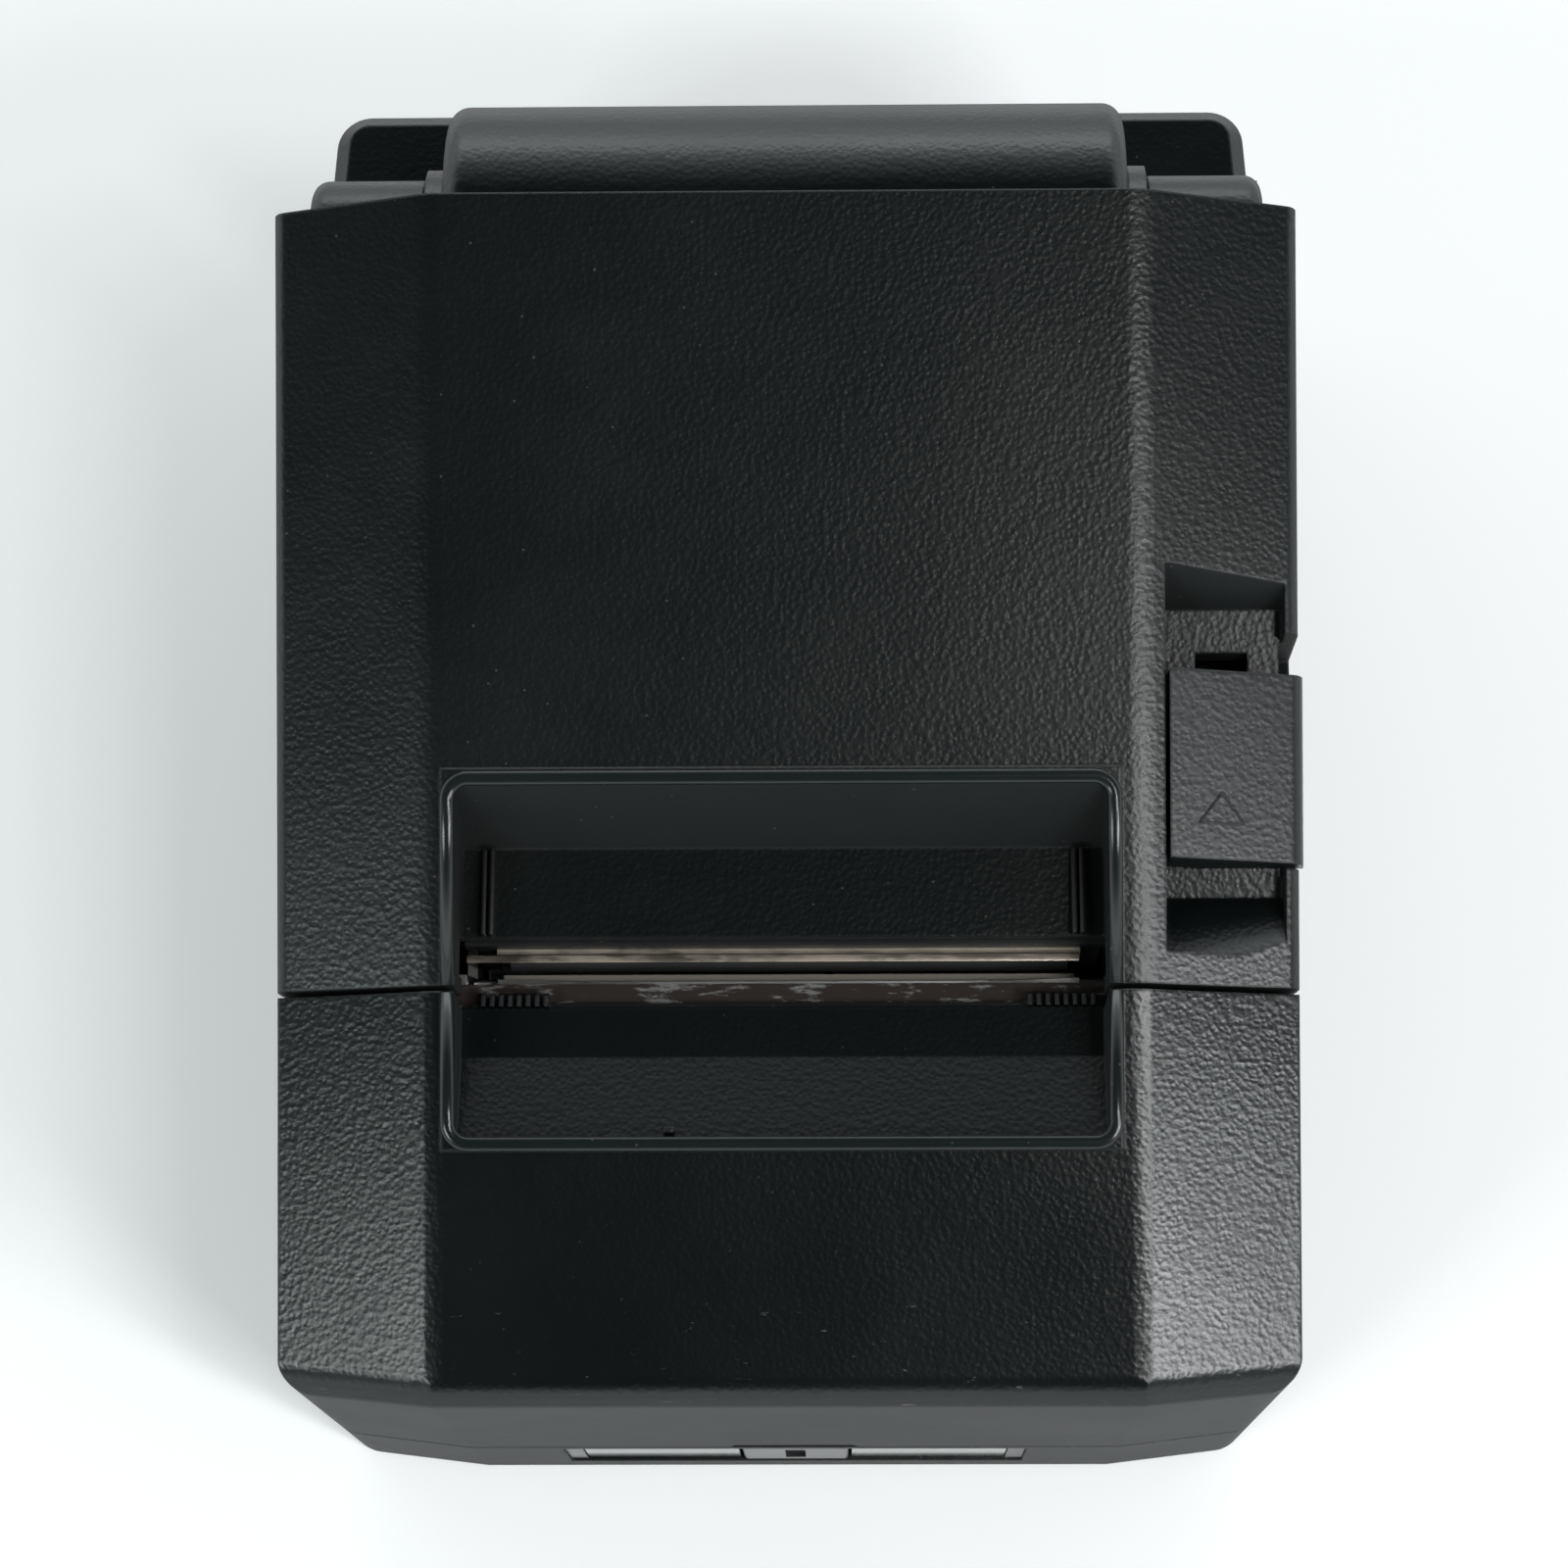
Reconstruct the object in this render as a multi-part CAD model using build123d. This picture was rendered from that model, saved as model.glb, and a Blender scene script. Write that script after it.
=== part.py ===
from build123d import *
import math
import os

os.makedirs("parts", exist_ok=True)

# Overall size, mm. Front faces -Y, +Z up, origin at the bottom centre.
W = 147.0
DEPTH = 204.0
H = 138.0
WALL = 2.5
GAP = 0.8
RUN = 0.05
CLEAR = 0.4
FOOT_H = 2.5
HALF = W / 2
FRONT = -DEPTH / 2
REAR = DEPTH / 2

# Roof: two slopes meeting at the parting line, creased towards both sides.
ROOF_REAR_Y = REAR - 36.7
PART_Y = FRONT + 57.5
TOP_SLOPE = 14.45
FRONT_SLOPE = 13.3
REAR_Z = H - 0.5
PART_Z = REAR_Z - math.tan(math.radians(TOP_SLOPE)) * (ROOF_REAR_Y - PART_Y)
CREASE_X = HALF - 22.7
CREASE_R = 15.0
CREASE_DROP = 5.5
FRONT_FACET = 2.8
FRONT_EDGE_R = 5.0
SKIRT_Z = H - 51.5
DECK_Z = SKIRT_Z - 1.5
REAR_HALF = HALF - 2.4
LIP_Z = 32.6

# Hinge, hood and towers.
HINGE_Y = ROOF_REAR_Y + 2.9
HINGE_Z = REAR_Z - 25.5
HOOD_R = 20.0
HOOD_X = 49.6
HINGE_PIN_R = 2.5
KNUCKLE_R = 10.8
KNUCKLE_X0 = HOOD_X + 0.6
KNUCKLE_X1 = KNUCKLE_X0 + 2.8
TOWER_R = 9.3
TOWER_X0 = KNUCKLE_X1 + CLEAR
TOWER_X1 = HALF - 3.3

# Paper exit opening.
OPEN_X = -0.8
OPEN_HALF = 46.6
RIM = 1.85
RIM_H = 0.4
OPEN_REAR_Y = PART_Y + 28.0
OPEN_FRONT_Y = PART_Y - 20.6
RECESS_Z = PART_Z - 7.2
TRAY_Z = PART_Z - 10.2

# Platen, head and cutter.
PLATEN_Y = PART_Y + 13.5
PLATEN_Z = HINGE_Z - 24.0
PLATEN_R = 6.5
PLATEN_HALF = 41.0
SHAFT_R = 2.5
BEARING_R = 4.0
BEARING_W = 2.5
CHEEK_X = 43.0
CLOSE_LEN = math.hypot(PLATEN_Y - HINGE_Y, PLATEN_Z - HINGE_Z)
OUT_Y = (PLATEN_Y - HINGE_Y) / CLOSE_LEN
OUT_Z = (PLATEN_Z - HINGE_Z) / CLOSE_LEN
SWING_R = CLOSE_LEN + PLATEN_R + 0.35
EDGE_R = HINGE_Y - PART_Y - GAP / 2
HEAD_GAP = 0.3
HEAD_T = 1.0
SINK_T = 4.0
HEAD_TOP = 4.0
HEAD_LOW = -11.0
HEAD_PIVOT_U = HEAD_GAP + HEAD_T + SINK_T / 2
HEAD_PIVOT_V = HEAD_LOW + 2.4
HEAD_PIN_R = 1.25
BLADE_Z = PLATEN_Z + 7.0
BLADE_T = 1.2
FIXED_TIP_Y = PLATEN_Y - 6.2
MOVE_T = 1.0
MOVE_Z = BLADE_Z - 0.1 - MOVE_T
MOVE_TIP_Y = FIXED_TIP_Y - 3.0
MOVE_LEN = 22.0
MOVE_HALF = CHEEK_X - 0.6
TOP_PLATE_Z = BLADE_Z + 0.3
LATCH_EAR_X = 51.0
FRAME_Z = BLADE_Z + BLADE_T
FRAME_T = 2.6
BLADE_SCREWS = (-39.0, 39.0)
BLADE_SCREW_Y = PLATEN_Y + 3.0

# Gears.
MOD = 0.8
BACKLASH = 0.16
PLATEN_T = 18
IDLER_T = 30
PINION_T = 12
CUT_GEAR_T = 24
GEAR_X0 = -55.0
GEAR_W = 3.0
MESH = MOD * (PLATEN_T + IDLER_T) / 2
IDLER_Z = PLATEN_Z + OUT_Y * MESH
IDLER_Y = PLATEN_Y - OUT_Z * MESH
PIN_MESH = MOD * (IDLER_T + PINION_T) / 2
PINION_A = math.radians(225)
PINION_Y = IDLER_Y + PIN_MESH * math.cos(PINION_A)
PINION_Z = IDLER_Z + PIN_MESH * math.sin(PINION_A)
RACK_PITCH_Z = MOVE_Z - 1.25 * MOD - 0.2
CUT_Y = MOVE_TIP_Y - 14.8
CUT_Z = RACK_PITCH_Z - MOD * PINION_T / 2
CUT_MESH = MOD * (CUT_GEAR_T + PINION_T) / 2
CUT_PIN_Y = CUT_Y + CUT_MESH * math.cos(PINION_A)
CUT_PIN_Z = CUT_Z + CUT_MESH * math.sin(PINION_A)
RACK_X0 = -31.0
RACK_X1 = -28.0

# Angles that bring the teeth into mesh at rest.
LINE_A = math.degrees(math.atan2(OUT_Y, -OUT_Z))
IDLER_PHASE = LINE_A + 180 + 180 / IDLER_T
DELTA = (math.degrees(PINION_A) - IDLER_PHASE) % (360 / IDLER_T)
PINION_PHASE = math.degrees(PINION_A) + 180 + DELTA * IDLER_T / PINION_T + 180 / PINION_T

# Roll well.
WELL_Y = 28.0
WELL_Z = 72.0
WELL_R = 43.5
WELL_HALF = 41.3
WELL_T = 2.0
NEAR_X = -WELL_HALF - WELL_T - 5.0
NEAR_Y = 34.0

# Chassis.
PLATE_X = 47.0
PLATE_T = 1.5
CH_FRONT = FRONT + 20.0
CH_REAR = -17.0
CH_Z = 40.0
CH_TOP = SKIRT_Z - 8.5
CH_SCREWS = [(-40.0, -74.0), (40.0, -74.0), (-40.0, -22.0), (40.0, -22.0)]
WELL_RIM_Z = CH_TOP + 2.0

# Latch and lever.
LATCH_Y = -5.0
LATCH_Z = PLATEN_Z + 10.0
LATCH_R = 2.0
KNOB_Y0 = -26.7
KNOB_Y1 = -0.6
KNOB_X0 = 54.6
TROUGH_Y0 = -39.5
TROUGH_Y1 = 14.0
TROUGH_X0 = 54.0
TROUGH_D = 7.5
STUD_Y = -12.0
STUD_Z = 76.0
STUD_R = 2.0
HOOK_X = 56.5
HOOK_T = 2.0

# Front bay.
BAY_HALF = 36.6
BAY_Z0 = 10.0
BAY_Z1 = 30.0
BUTTON_HALF = 8.5
WINDOW_X0 = BUTTON_HALF + 0.5
WINDOW_X1 = 33.6

# Case screws, feet, wall bracket holes and rear housing.
FRONT_SCREWS = [(13.5 - HALF, FRONT + 12.0), (HALF - 13.5, FRONT + 12.0)]
CASE_BOSSES = [(-58.0, 12.0), (58.0, 12.0), (-58.0, 58.0), (58.0, 58.0)]
MOUNT_X = 100.0
MOUNT_Y = 130.0
MOUNT_R = 1.6
FOOT_X = HALF - 15.5
FOOT_Y0 = FRONT + 16.0
FOOT_Y1 = REAR - 18.0
FEET = [(-FOOT_X, FOOT_Y0), (FOOT_X, FOOT_Y0), (-FOOT_X, FOOT_Y1), (FOOT_X, FOOT_Y1)]
DECK_Y0 = HINGE_Y - 12.0
PANEL_HALF = 62.0
PANEL_TOP = 34.0
CASE_IN = HALF - WALL - 3.4

# Power switch on the left side.
SWITCH_Y = -62.0
SWITCH_Z = 20.0
ROCKER_X = -HALF + 4.0

# Board and sockets at the back.
BOARD_Z = 8.0
BOARD_T = 1.6
SOCKET_Z = BOARD_Z + BOARD_T
BOARD_SCREWS = [(-61.0, 3.0), (61.0, 3.0), (-62.0, 76.0), (62.0, 76.0)]
PORTS = {
    "power_inlet": (-48.0, 14.0, 13.0),
    "data_port": (-22.0, 12.1, 11.0),
    "network_port": (4.0, 16.0, 13.5),
    "drawer_jack": (30.0, 13.0, 12.5),
}


def box(x0, x1, y0, y1, z0, z1):
    solid = Box(x1 - x0, y1 - y0, z1 - z0)
    return Pos((x0 + x1) / 2, (y0 + y1) / 2, (z0 + z1) / 2) * solid


def yz_prism(points, x0, x1):
    face = Plane.YZ * make_face(Polyline(*points, close=True))
    return Pos(x0, 0, 0) * extrude(face, amount=x1 - x0)


def xcyl(y, z, r, x0, x1):
    return Pos((x0 + x1) / 2, y, z) * (Rot(0, 90, 0) * Cylinder(r, x1 - x0))


def ycyl(x, z, r, y0, y1):
    return Pos(x, (y0 + y1) / 2, z) * (Rot(90, 0, 0) * Cylinder(r, y1 - y0))


def zcyl(x, y, r, z0, z1):
    return Pos(x, y, (z0 + z1) / 2) * Cylinder(r, z1 - z0)


def fuse(shapes):
    total = shapes[0]
    for shape in shapes[1:]:
        total = total + shape
    return total


def top_z(y):
    return PART_Z + math.tan(math.radians(TOP_SLOPE)) * (y - PART_Y)


def front_z(y):
    return PART_Z + math.tan(math.radians(FRONT_SLOPE)) * (y - PART_Y)


def plan(inset, z0, z1):
    points = [
        (-HALF, FRONT + FRONT_FACET), (-CREASE_X, FRONT), (CREASE_X, FRONT),
        (HALF, FRONT + FRONT_FACET), (HALF, ROOF_REAR_Y), (REAR_HALF, REAR),
        (-REAR_HALF, REAR), (-HALF, ROOF_REAR_Y),
    ]
    face = make_face(Polyline(*points, close=True))
    corners = [v for v in face.vertices() if abs(v.X) > CREASE_X + 1 and abs(v.Y) > 90]
    face = fillet(corners, 5.5)
    face = offset(face, amount=-inset) if inset else face
    return Pos(0, 0, z0) * extrude(face, amount=z1 - z0)


def roof(inset, slope, y0, y1):
    """Prism under the creased roof, carried along the slope from y0 to y1."""
    z = PART_Z - inset / math.cos(math.radians(slope))
    half = HALF - inset
    edge = z - CREASE_DROP
    points = [(-half, -60), (half, -60), (half, edge), (CREASE_X, z), (-CREASE_X, z), (-half, edge)]
    face = make_face(Polyline(*points, close=True))
    creases = [v for v in face.vertices() if v.Y > z - 1]
    face = fillet(creases, CREASE_R)
    rims = [v for v in face.vertices() if abs(v.Y - edge) < 0.01]
    face = fillet(rims, max(2.0 - inset / 2, 0.5))
    rise = math.tan(math.radians(slope))
    face = Pos(0, y0, rise * (y0 - PART_Y)) * (Plane.XZ * face)
    run = (y1 - y0) * math.hypot(1, rise)
    return extrude(face, amount=run, dir=(0, 1, rise))


def gear(teeth, bore_r, width, phase):
    """Spur gear on the X axis; one tooth centre points at phase degrees in YZ."""
    pitch = MOD * teeth / 2
    base = pitch * math.cos(math.radians(20))
    tip = pitch + MOD
    root = pitch - 1.25 * MOD
    inv = math.tan(math.radians(20)) - math.radians(20)
    half = math.pi / (2 * teeth) - BACKLASH / (2 * pitch)
    points = []
    for i in range(teeth):
        mid = math.radians(phase) + 2 * math.pi * i / teeth
        flank = []
        for k in range(6):
            r = max(base, root) + (tip - max(base, root)) * k / 5
            a = math.acos(min(1.0, base / r))
            flank.append((r, half + inv - (math.tan(a) - a)))
        flank.insert(0, (root, flank[0][1]))
        for r, a in flank:
            points.append((r * math.cos(mid - a), r * math.sin(mid - a)))
        for r, a in reversed(flank):
            points.append((r * math.cos(mid + a), r * math.sin(mid + a)))
    body = yz_prism(points, 0, width)
    if bore_r:
        body = body - xcyl(0, 0, bore_r, -1, width + 1)
    return body


def tilt(points):
    """Head coordinates (out, up) to world (y, z)."""
    contact_y = PLATEN_Y + OUT_Y * PLATEN_R
    contact_z = PLATEN_Z + OUT_Z * PLATEN_R
    return [(contact_y + OUT_Y * u + OUT_Z * v, contact_z + OUT_Z * u - OUT_Y * v) for u, v in points]


def tilt_box(u0, u1, v0, v1, x0, x1):
    return yz_prism(tilt([(u0, v0), (u1, v0), (u1, v1), (u0, v1)]), x0, x1)


def pocket(points, grow, x_grow):
    """Prism of the exit opening's YZ outline, widened by x_grow."""
    return yz_prism(points, OPEN_X - OPEN_HALF - x_grow, OPEN_X + OPEN_HALF + x_grow)


def swing(radius):
    """Cylinder about the hinge axis: the cover's leading edge lies on one."""
    return xcyl(HINGE_Y, HINGE_Z, radius, -90, 90)


def cover_block(inset):
    lead = PART_Y + GAP / 2 + inset
    rear = ROOF_REAR_Y - inset
    points = [
        (-HALF, lead), (HALF, lead), (HALF, rear - 0.7),
        (CREASE_X, rear), (-CREASE_X, rear), (-HALF, rear - 0.7),
    ]
    low = SKIRT_Z - 20 if inset else SKIRT_Z
    zone = Pos(0, 0, low) * extrude(make_face(Polyline(*points, close=True)), amount=80)
    block = roof(inset, TOP_SLOPE, lead - 5, rear + 5) & zone & plan(inset, low, H + 5)
    return block & swing(EDGE_R - inset)


def top_cover():
    block = cover_block(0)
    shell = block - cover_block(WALL)
    low = HINGE_Z + TOWER_R
    shell = shell - box(-HALF + WALL, HALF - WALL, ROOF_REAR_Y - 8, REAR, 60, low)
    shell = shell - box(-HALF + WALL, HALF - WALL, PART_Y, PART_Y + 9, 60, PART_Z - 11)
    shell = shell - xcyl(HINGE_Y, HINGE_Z, HOOD_R + CLEAR, -KNUCKLE_X0, KNUCKLE_X0)
    for side in (-1, 1):
        reach = sorted((side * TOWER_X0, side * HALF))
        shell = shell - xcyl(HINGE_Y, HINGE_Z, TOWER_R + CLEAR, reach[0], reach[1])
    floor_y = OPEN_REAR_Y - 5.8
    end_y = PART_Y + 9.1
    under = [
        (OPEN_REAR_Y + 2, top_z(OPEN_REAR_Y + 2) - 0.5), (floor_y + 2, RECESS_Z - 2),
        (end_y, RECESS_Z - 3), (end_y, top_z(end_y) - 0.5),
    ]
    lip = [
        (PART_Y, top_z(PART_Y) - 0.5), (PART_Y + 2.9, RECESS_Z), (end_y, RECESS_Z),
        (end_y, top_z(end_y) - 0.5),
    ]
    walls = pocket(under, 0, 2) + pocket(lip, 0, 2)
    shell = shell + (walls & block)
    rim_y = OPEN_REAR_Y + RIM + 0.4
    rim = [
        (PART_Y + GAP / 2, top_z(PART_Y + GAP / 2) - 1), (rim_y, top_z(rim_y) - 1),
        (rim_y, top_z(rim_y) + RIM_H), (PART_Y + GAP / 2, top_z(PART_Y + GAP / 2) + RIM_H),
    ]
    shell = shell + pocket(rim, 0, RIM)
    hollow = [
        (OPEN_REAR_Y + 0.5, H), (OPEN_REAR_Y, top_z(OPEN_REAR_Y)), (floor_y, RECESS_Z),
        (end_y, RECESS_Z - 1), (end_y, 60), (PART_Y - 9, 60), (PART_Y - 9, H),
    ]
    shell = shell - pocket(hollow, 0, 0)
    trough_side = yz_prism([
        (TROUGH_Y0 - 2, top_z(TROUGH_Y0 - 2) - 1), (TROUGH_Y0 - 2, top_z(TROUGH_Y0) - TROUGH_D - 6),
        (TROUGH_Y1 + 2, top_z(TROUGH_Y1) - TROUGH_D - 6), (TROUGH_Y1 + 2, top_z(TROUGH_Y1 + 2) - 1),
    ], TROUGH_X0 - 2, HALF)
    shell = shell + (trough_side & block)
    trough = yz_prism([
        (TROUGH_Y0, top_z(TROUGH_Y0) + 9), (TROUGH_Y0, top_z(TROUGH_Y0) - 3.5),
        (KNOB_Y0 - 3.5, top_z(KNOB_Y0) - TROUGH_D - 3.5), (TROUGH_Y1 - 4, top_z(TROUGH_Y1) - TROUGH_D - 3.5),
        (TROUGH_Y1, top_z(TROUGH_Y1) - 1), (TROUGH_Y1, top_z(TROUGH_Y1) + 9),
    ], TROUGH_X0, HALF - 2)
    shell = shell - trough
    notch = yz_prism([
        (KNOB_Y0 - 0.5, top_z(KNOB_Y0) + 9), (KNOB_Y0 - 0.5, LATCH_Z + 4),
        (KNOB_Y1 + 6, LATCH_Z + 5), (KNOB_Y1 + 6, top_z(KNOB_Y1) + 9),
    ], HALF - 2.5, HALF + 3)
    shell = shell - notch
    slot = box(TROUGH_X0 + 5, TROUGH_X0 + 12.5, LATCH_Y - 6, LATCH_Y + 9, 60, H + 5)
    shell = shell - slot
    for side in (-1, 1):
        ends = sorted((side * KNUCKLE_X0, side * KNUCKLE_X1))
        arm = yz_prism([
            (HINGE_Y - 4, HINGE_Z - 9), (HINGE_Y - 4, HINGE_Z + 9.5), (52, top_z(52) - 1),
            (38, top_z(38) - 1), (38, 114), (50, 104),
        ], ends[0], ends[1])
        knuckle = arm + xcyl(HINGE_Y, HINGE_Z, KNUCKLE_R, ends[0], ends[1])
        shell = shell + knuckle
        shell = shell - xcyl(HINGE_Y, HINGE_Z, HINGE_PIN_R + RUN, ends[0] - 1, ends[1] + 1)
    for x, y, z in cover_posts():
        shell = shell + (zcyl(x, y, 3.2, z, top_z(y) - 1) & block)
        shell = shell - zcyl(x, y, 1.2, z - 1, z + 6)
    for side in (-1, 1):
        ears = sorted((side * (LATCH_EAR_X - 1), side * (LATCH_EAR_X + 1)))
        ear = box(ears[0], ears[1], LATCH_Y - 5, LATCH_Y + 5, LATCH_Z - 5, top_z(LATCH_Y) - 1)
        shell = shell + (ear & block)
        shell = shell - xcyl(LATCH_Y, LATCH_Z, LATCH_R + RUN, ears[0] - 1, ears[1] + 1)
    return shell


def cover_posts():
    return [(x, LATCH_Y - 7.0, FRAME_Z + FRAME_T) for x in (-38.0, 38.0)]


def platen_frame():
    lead = PLATEN_Y - 5
    frame = box(-CHEEK_X - 4, CHEEK_X + 4, lead, LATCH_Y - 3.4, FRAME_Z, FRAME_Z + FRAME_T)
    frame = frame - box(-24, 24, LATCH_Y - 15, LATCH_Y - 8, FRAME_Z - 1, FRAME_Z + 5)
    for side in (-1, 1):
        ends = sorted((side * CHEEK_X, side * (CHEEK_X + BEARING_W)))
        frame = frame + box(ends[0], ends[1], lead, PLATEN_Y + 9, PLATEN_Z - 5.5, FRAME_Z + 1)
        frame = frame - xcyl(PLATEN_Y, PLATEN_Z, BEARING_R, ends[0] - 1, ends[1] + 1)
    for x, y, z in cover_posts():
        frame = frame - zcyl(x, y, 1.6, FRAME_Z - 1, z + 1)
    for x in BLADE_SCREWS:
        frame = frame - zcyl(x, BLADE_SCREW_Y, 0.8, FRAME_Z - 1, FRAME_Z + 5)
    return frame


def fixed_blade():
    blade = box(-42.5, 42.5, FIXED_TIP_Y, PLATEN_Y + 7, BLADE_Z, BLADE_Z + BLADE_T)
    edge = yz_prism([
        (FIXED_TIP_Y - 1, BLADE_Z + BLADE_T + 1), (FIXED_TIP_Y - 1, BLADE_Z + 0.4),
        (FIXED_TIP_Y, BLADE_Z + 0.4), (FIXED_TIP_Y + 0.9, BLADE_Z + BLADE_T), (FIXED_TIP_Y + 0.9, BLADE_Z + 3),
    ], -43, 43)
    blade = blade - edge
    for x in BLADE_SCREWS:
        blade = blade - zcyl(x, BLADE_SCREW_Y, 1.1, BLADE_Z - 1, BLADE_Z + 3)
    return blade


def screw(x, y, z_seat, r, length, head_r, head_h, up=False):
    """Pan head screw; up=True puts the head below the seat."""
    if up:
        head = zcyl(x, y, head_r, z_seat - head_h, z_seat) - zcyl(x, y, r * 0.6, z_seat - head_h - 1, z_seat - 0.4)
        return head + zcyl(x, y, r, z_seat, z_seat + length)
    head = zcyl(x, y, head_r, z_seat, z_seat + head_h) - zcyl(x, y, r * 0.6, z_seat + 0.4, z_seat + head_h + 1)
    return head + zcyl(x, y, r, z_seat - length, z_seat)


def cover_screws():
    items = [screw(x, y, FRAME_Z, 1.2, 7.5, 2.6, 1.4, True) for x, y, z in cover_posts()]
    items += [screw(x, BLADE_SCREW_Y, BLADE_Z, 0.8, 3.0, 1.5, 0.6, True) for x in BLADE_SCREWS]
    return Compound(children=items)


def platen_bearings():
    items = []
    for side in (-1, 1):
        ends = sorted((side * CHEEK_X, side * (CHEEK_X + BEARING_W)))
        ring = xcyl(PLATEN_Y, PLATEN_Z, BEARING_R, ends[0], ends[1])
        items.append(ring - xcyl(PLATEN_Y, PLATEN_Z, SHAFT_R + RUN, ends[0] - 1, ends[1] + 1))
    return Compound(children=items)


def platen_rubber():
    tube = xcyl(PLATEN_Y, PLATEN_Z, PLATEN_R, -PLATEN_HALF, PLATEN_HALF)
    return tube - xcyl(PLATEN_Y, PLATEN_Z, SHAFT_R + 0.8, -50, 50)


def platen_shaft():
    core = xcyl(PLATEN_Y, PLATEN_Z, SHAFT_R + 0.8, -PLATEN_HALF, PLATEN_HALF)
    return core + xcyl(PLATEN_Y, PLATEN_Z, SHAFT_R, GEAR_X0 - 0.6, CHEEK_X + BEARING_W + 1)


def platen_gear():
    wheel = gear(PLATEN_T, SHAFT_R, GEAR_W, LINE_A)
    return Pos(GEAR_X0, PLATEN_Y, PLATEN_Z) * wheel


def idler_gear():
    wheel = gear(IDLER_T, 1.5 + RUN, GEAR_W, IDLER_PHASE)
    for k in range(5):
        a = math.radians(72 * k)
        wheel = wheel - xcyl(6.6 * math.cos(a), 6.6 * math.sin(a), 2.2, -1, GEAR_W + 1)
    return Pos(GEAR_X0, IDLER_Y, IDLER_Z) * wheel


def feed_pinion():
    wheel = gear(PINION_T, 0, GEAR_W, PINION_PHASE)
    hub = xcyl(0, 0, 1.5, GEAR_W, -PLATE_X - GEAR_X0 + 2)
    return Pos(GEAR_X0, PINION_Y, PINION_Z) * (wheel + hub)


def idler_axle():
    axle = xcyl(IDLER_Y, IDLER_Z, 1.5, GEAR_X0 - 0.5, -PLATE_X)
    collar = xcyl(IDLER_Y, IDLER_Z, 2.6, GEAR_X0 + GEAR_W + 0.35, -PLATE_X - PLATE_T)
    clip = xcyl(IDLER_Y, IDLER_Z, 2.6, GEAR_X0 - 1.1, GEAR_X0 - 0.35)
    return axle + collar + clip


def arc_cut(x0, x1):
    """Space swept by the platen unit as the cover swings."""
    return xcyl(HINGE_Y, HINGE_Z, SWING_R, x0, x1)


def spring_spot():
    return [-24.0, 24.0]


def mech_chassis():
    side_points = [
        (CH_FRONT, CH_Z), (CH_REAR, CH_Z), (CH_REAR, CH_TOP), (PART_Y + 8, CH_TOP),
        (PART_Y + 5, BLADE_Z + 0.3), (CH_FRONT + 8, BLADE_Z + 0.3), (CH_FRONT, BLADE_Z - 8),
    ]
    frame = box(-PLATE_X, PLATE_X, CH_FRONT, CH_REAR, CH_Z, CH_Z + PLATE_T)
    for side in (-1, 1):
        ends = sorted((side * PLATE_X, side * (PLATE_X + PLATE_T)))
        plate = yz_prism(side_points, ends[0], ends[1])
        plate = plate - arc_cut(ends[0] - 1, ends[1] + 1).intersect(box(-80, 80, -90, 90, CH_TOP, 130))
        frame = frame + plate
    wall = tilt_box(HEAD_GAP + 10.0, HEAD_GAP + 11.2, -9.0, 2.0, -PLATE_X, PLATE_X)
    frame = frame + wall
    frame = frame - xcyl(PINION_Y, PINION_Z, 5.5, -PLATE_X - PLATE_T - 1, -PLATE_X + 1)
    frame = frame - xcyl(CUT_PIN_Y, CUT_PIN_Z, 4.0, -PLATE_X - PLATE_T - 1, -PLATE_X + 1)
    frame = frame - xcyl(CUT_Y, CUT_Z, 2.0 + RUN, -60, 60)
    pivot = tilt([(HEAD_PIVOT_U, HEAD_PIVOT_V)])[0]
    frame = frame - xcyl(pivot[0], pivot[1], HEAD_PIN_R, -60, 60)
    frame = frame - xcyl(IDLER_Y, IDLER_Z, 1.5, -60, -PLATE_X + 1)
    for side in (-1, 1):
        frame = frame - xcyl(STUD_Y - 8, STUD_Z - 4, 1.5, *sorted((side * 45, side * 60)))
    rails = box(-PLATE_X, PLATE_X, MOVE_TIP_Y - 20, MOVE_TIP_Y - 17, MOVE_Z - 2.6, MOVE_Z - 0.4)
    frame = frame + (rails - box(RACK_X0 - 1, RACK_X1 + 1, -80, -40, 80, 100))
    for x, y in CH_SCREWS:
        frame = frame - zcyl(x, y, 1.7, CH_Z - 1, CH_Z + 3)
    return frame


def latch_studs():
    items = []
    for side in (-1, 1):
        ends = sorted((side * (PLATE_X + PLATE_T), side * (HOOK_X + HOOK_T + 1)))
        bar = xcyl(STUD_Y - 8, STUD_Z - 4, 1.5, *sorted((side * PLATE_X, side * (PLATE_X + 3))))
        plate = yz_prism([
            (STUD_Y - 11, STUD_Z - 7), (STUD_Y + 3, STUD_Z - 7), (STUD_Y + 3, STUD_Z + 3), (STUD_Y - 11, STUD_Z - 1),
        ], *sorted((side * (PLATE_X + PLATE_T), side * (PLATE_X + PLATE_T + 2))))
        stud = xcyl(STUD_Y, STUD_Z, STUD_R, ends[0], ends[1])
        items.append(plate + stud + bar)
    return Compound(children=items)


def thermal_head():
    return tilt_box(HEAD_GAP, HEAD_GAP + HEAD_T, HEAD_LOW + 2, HEAD_TOP, -PLATEN_HALF - 1, PLATEN_HALF + 1)


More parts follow.
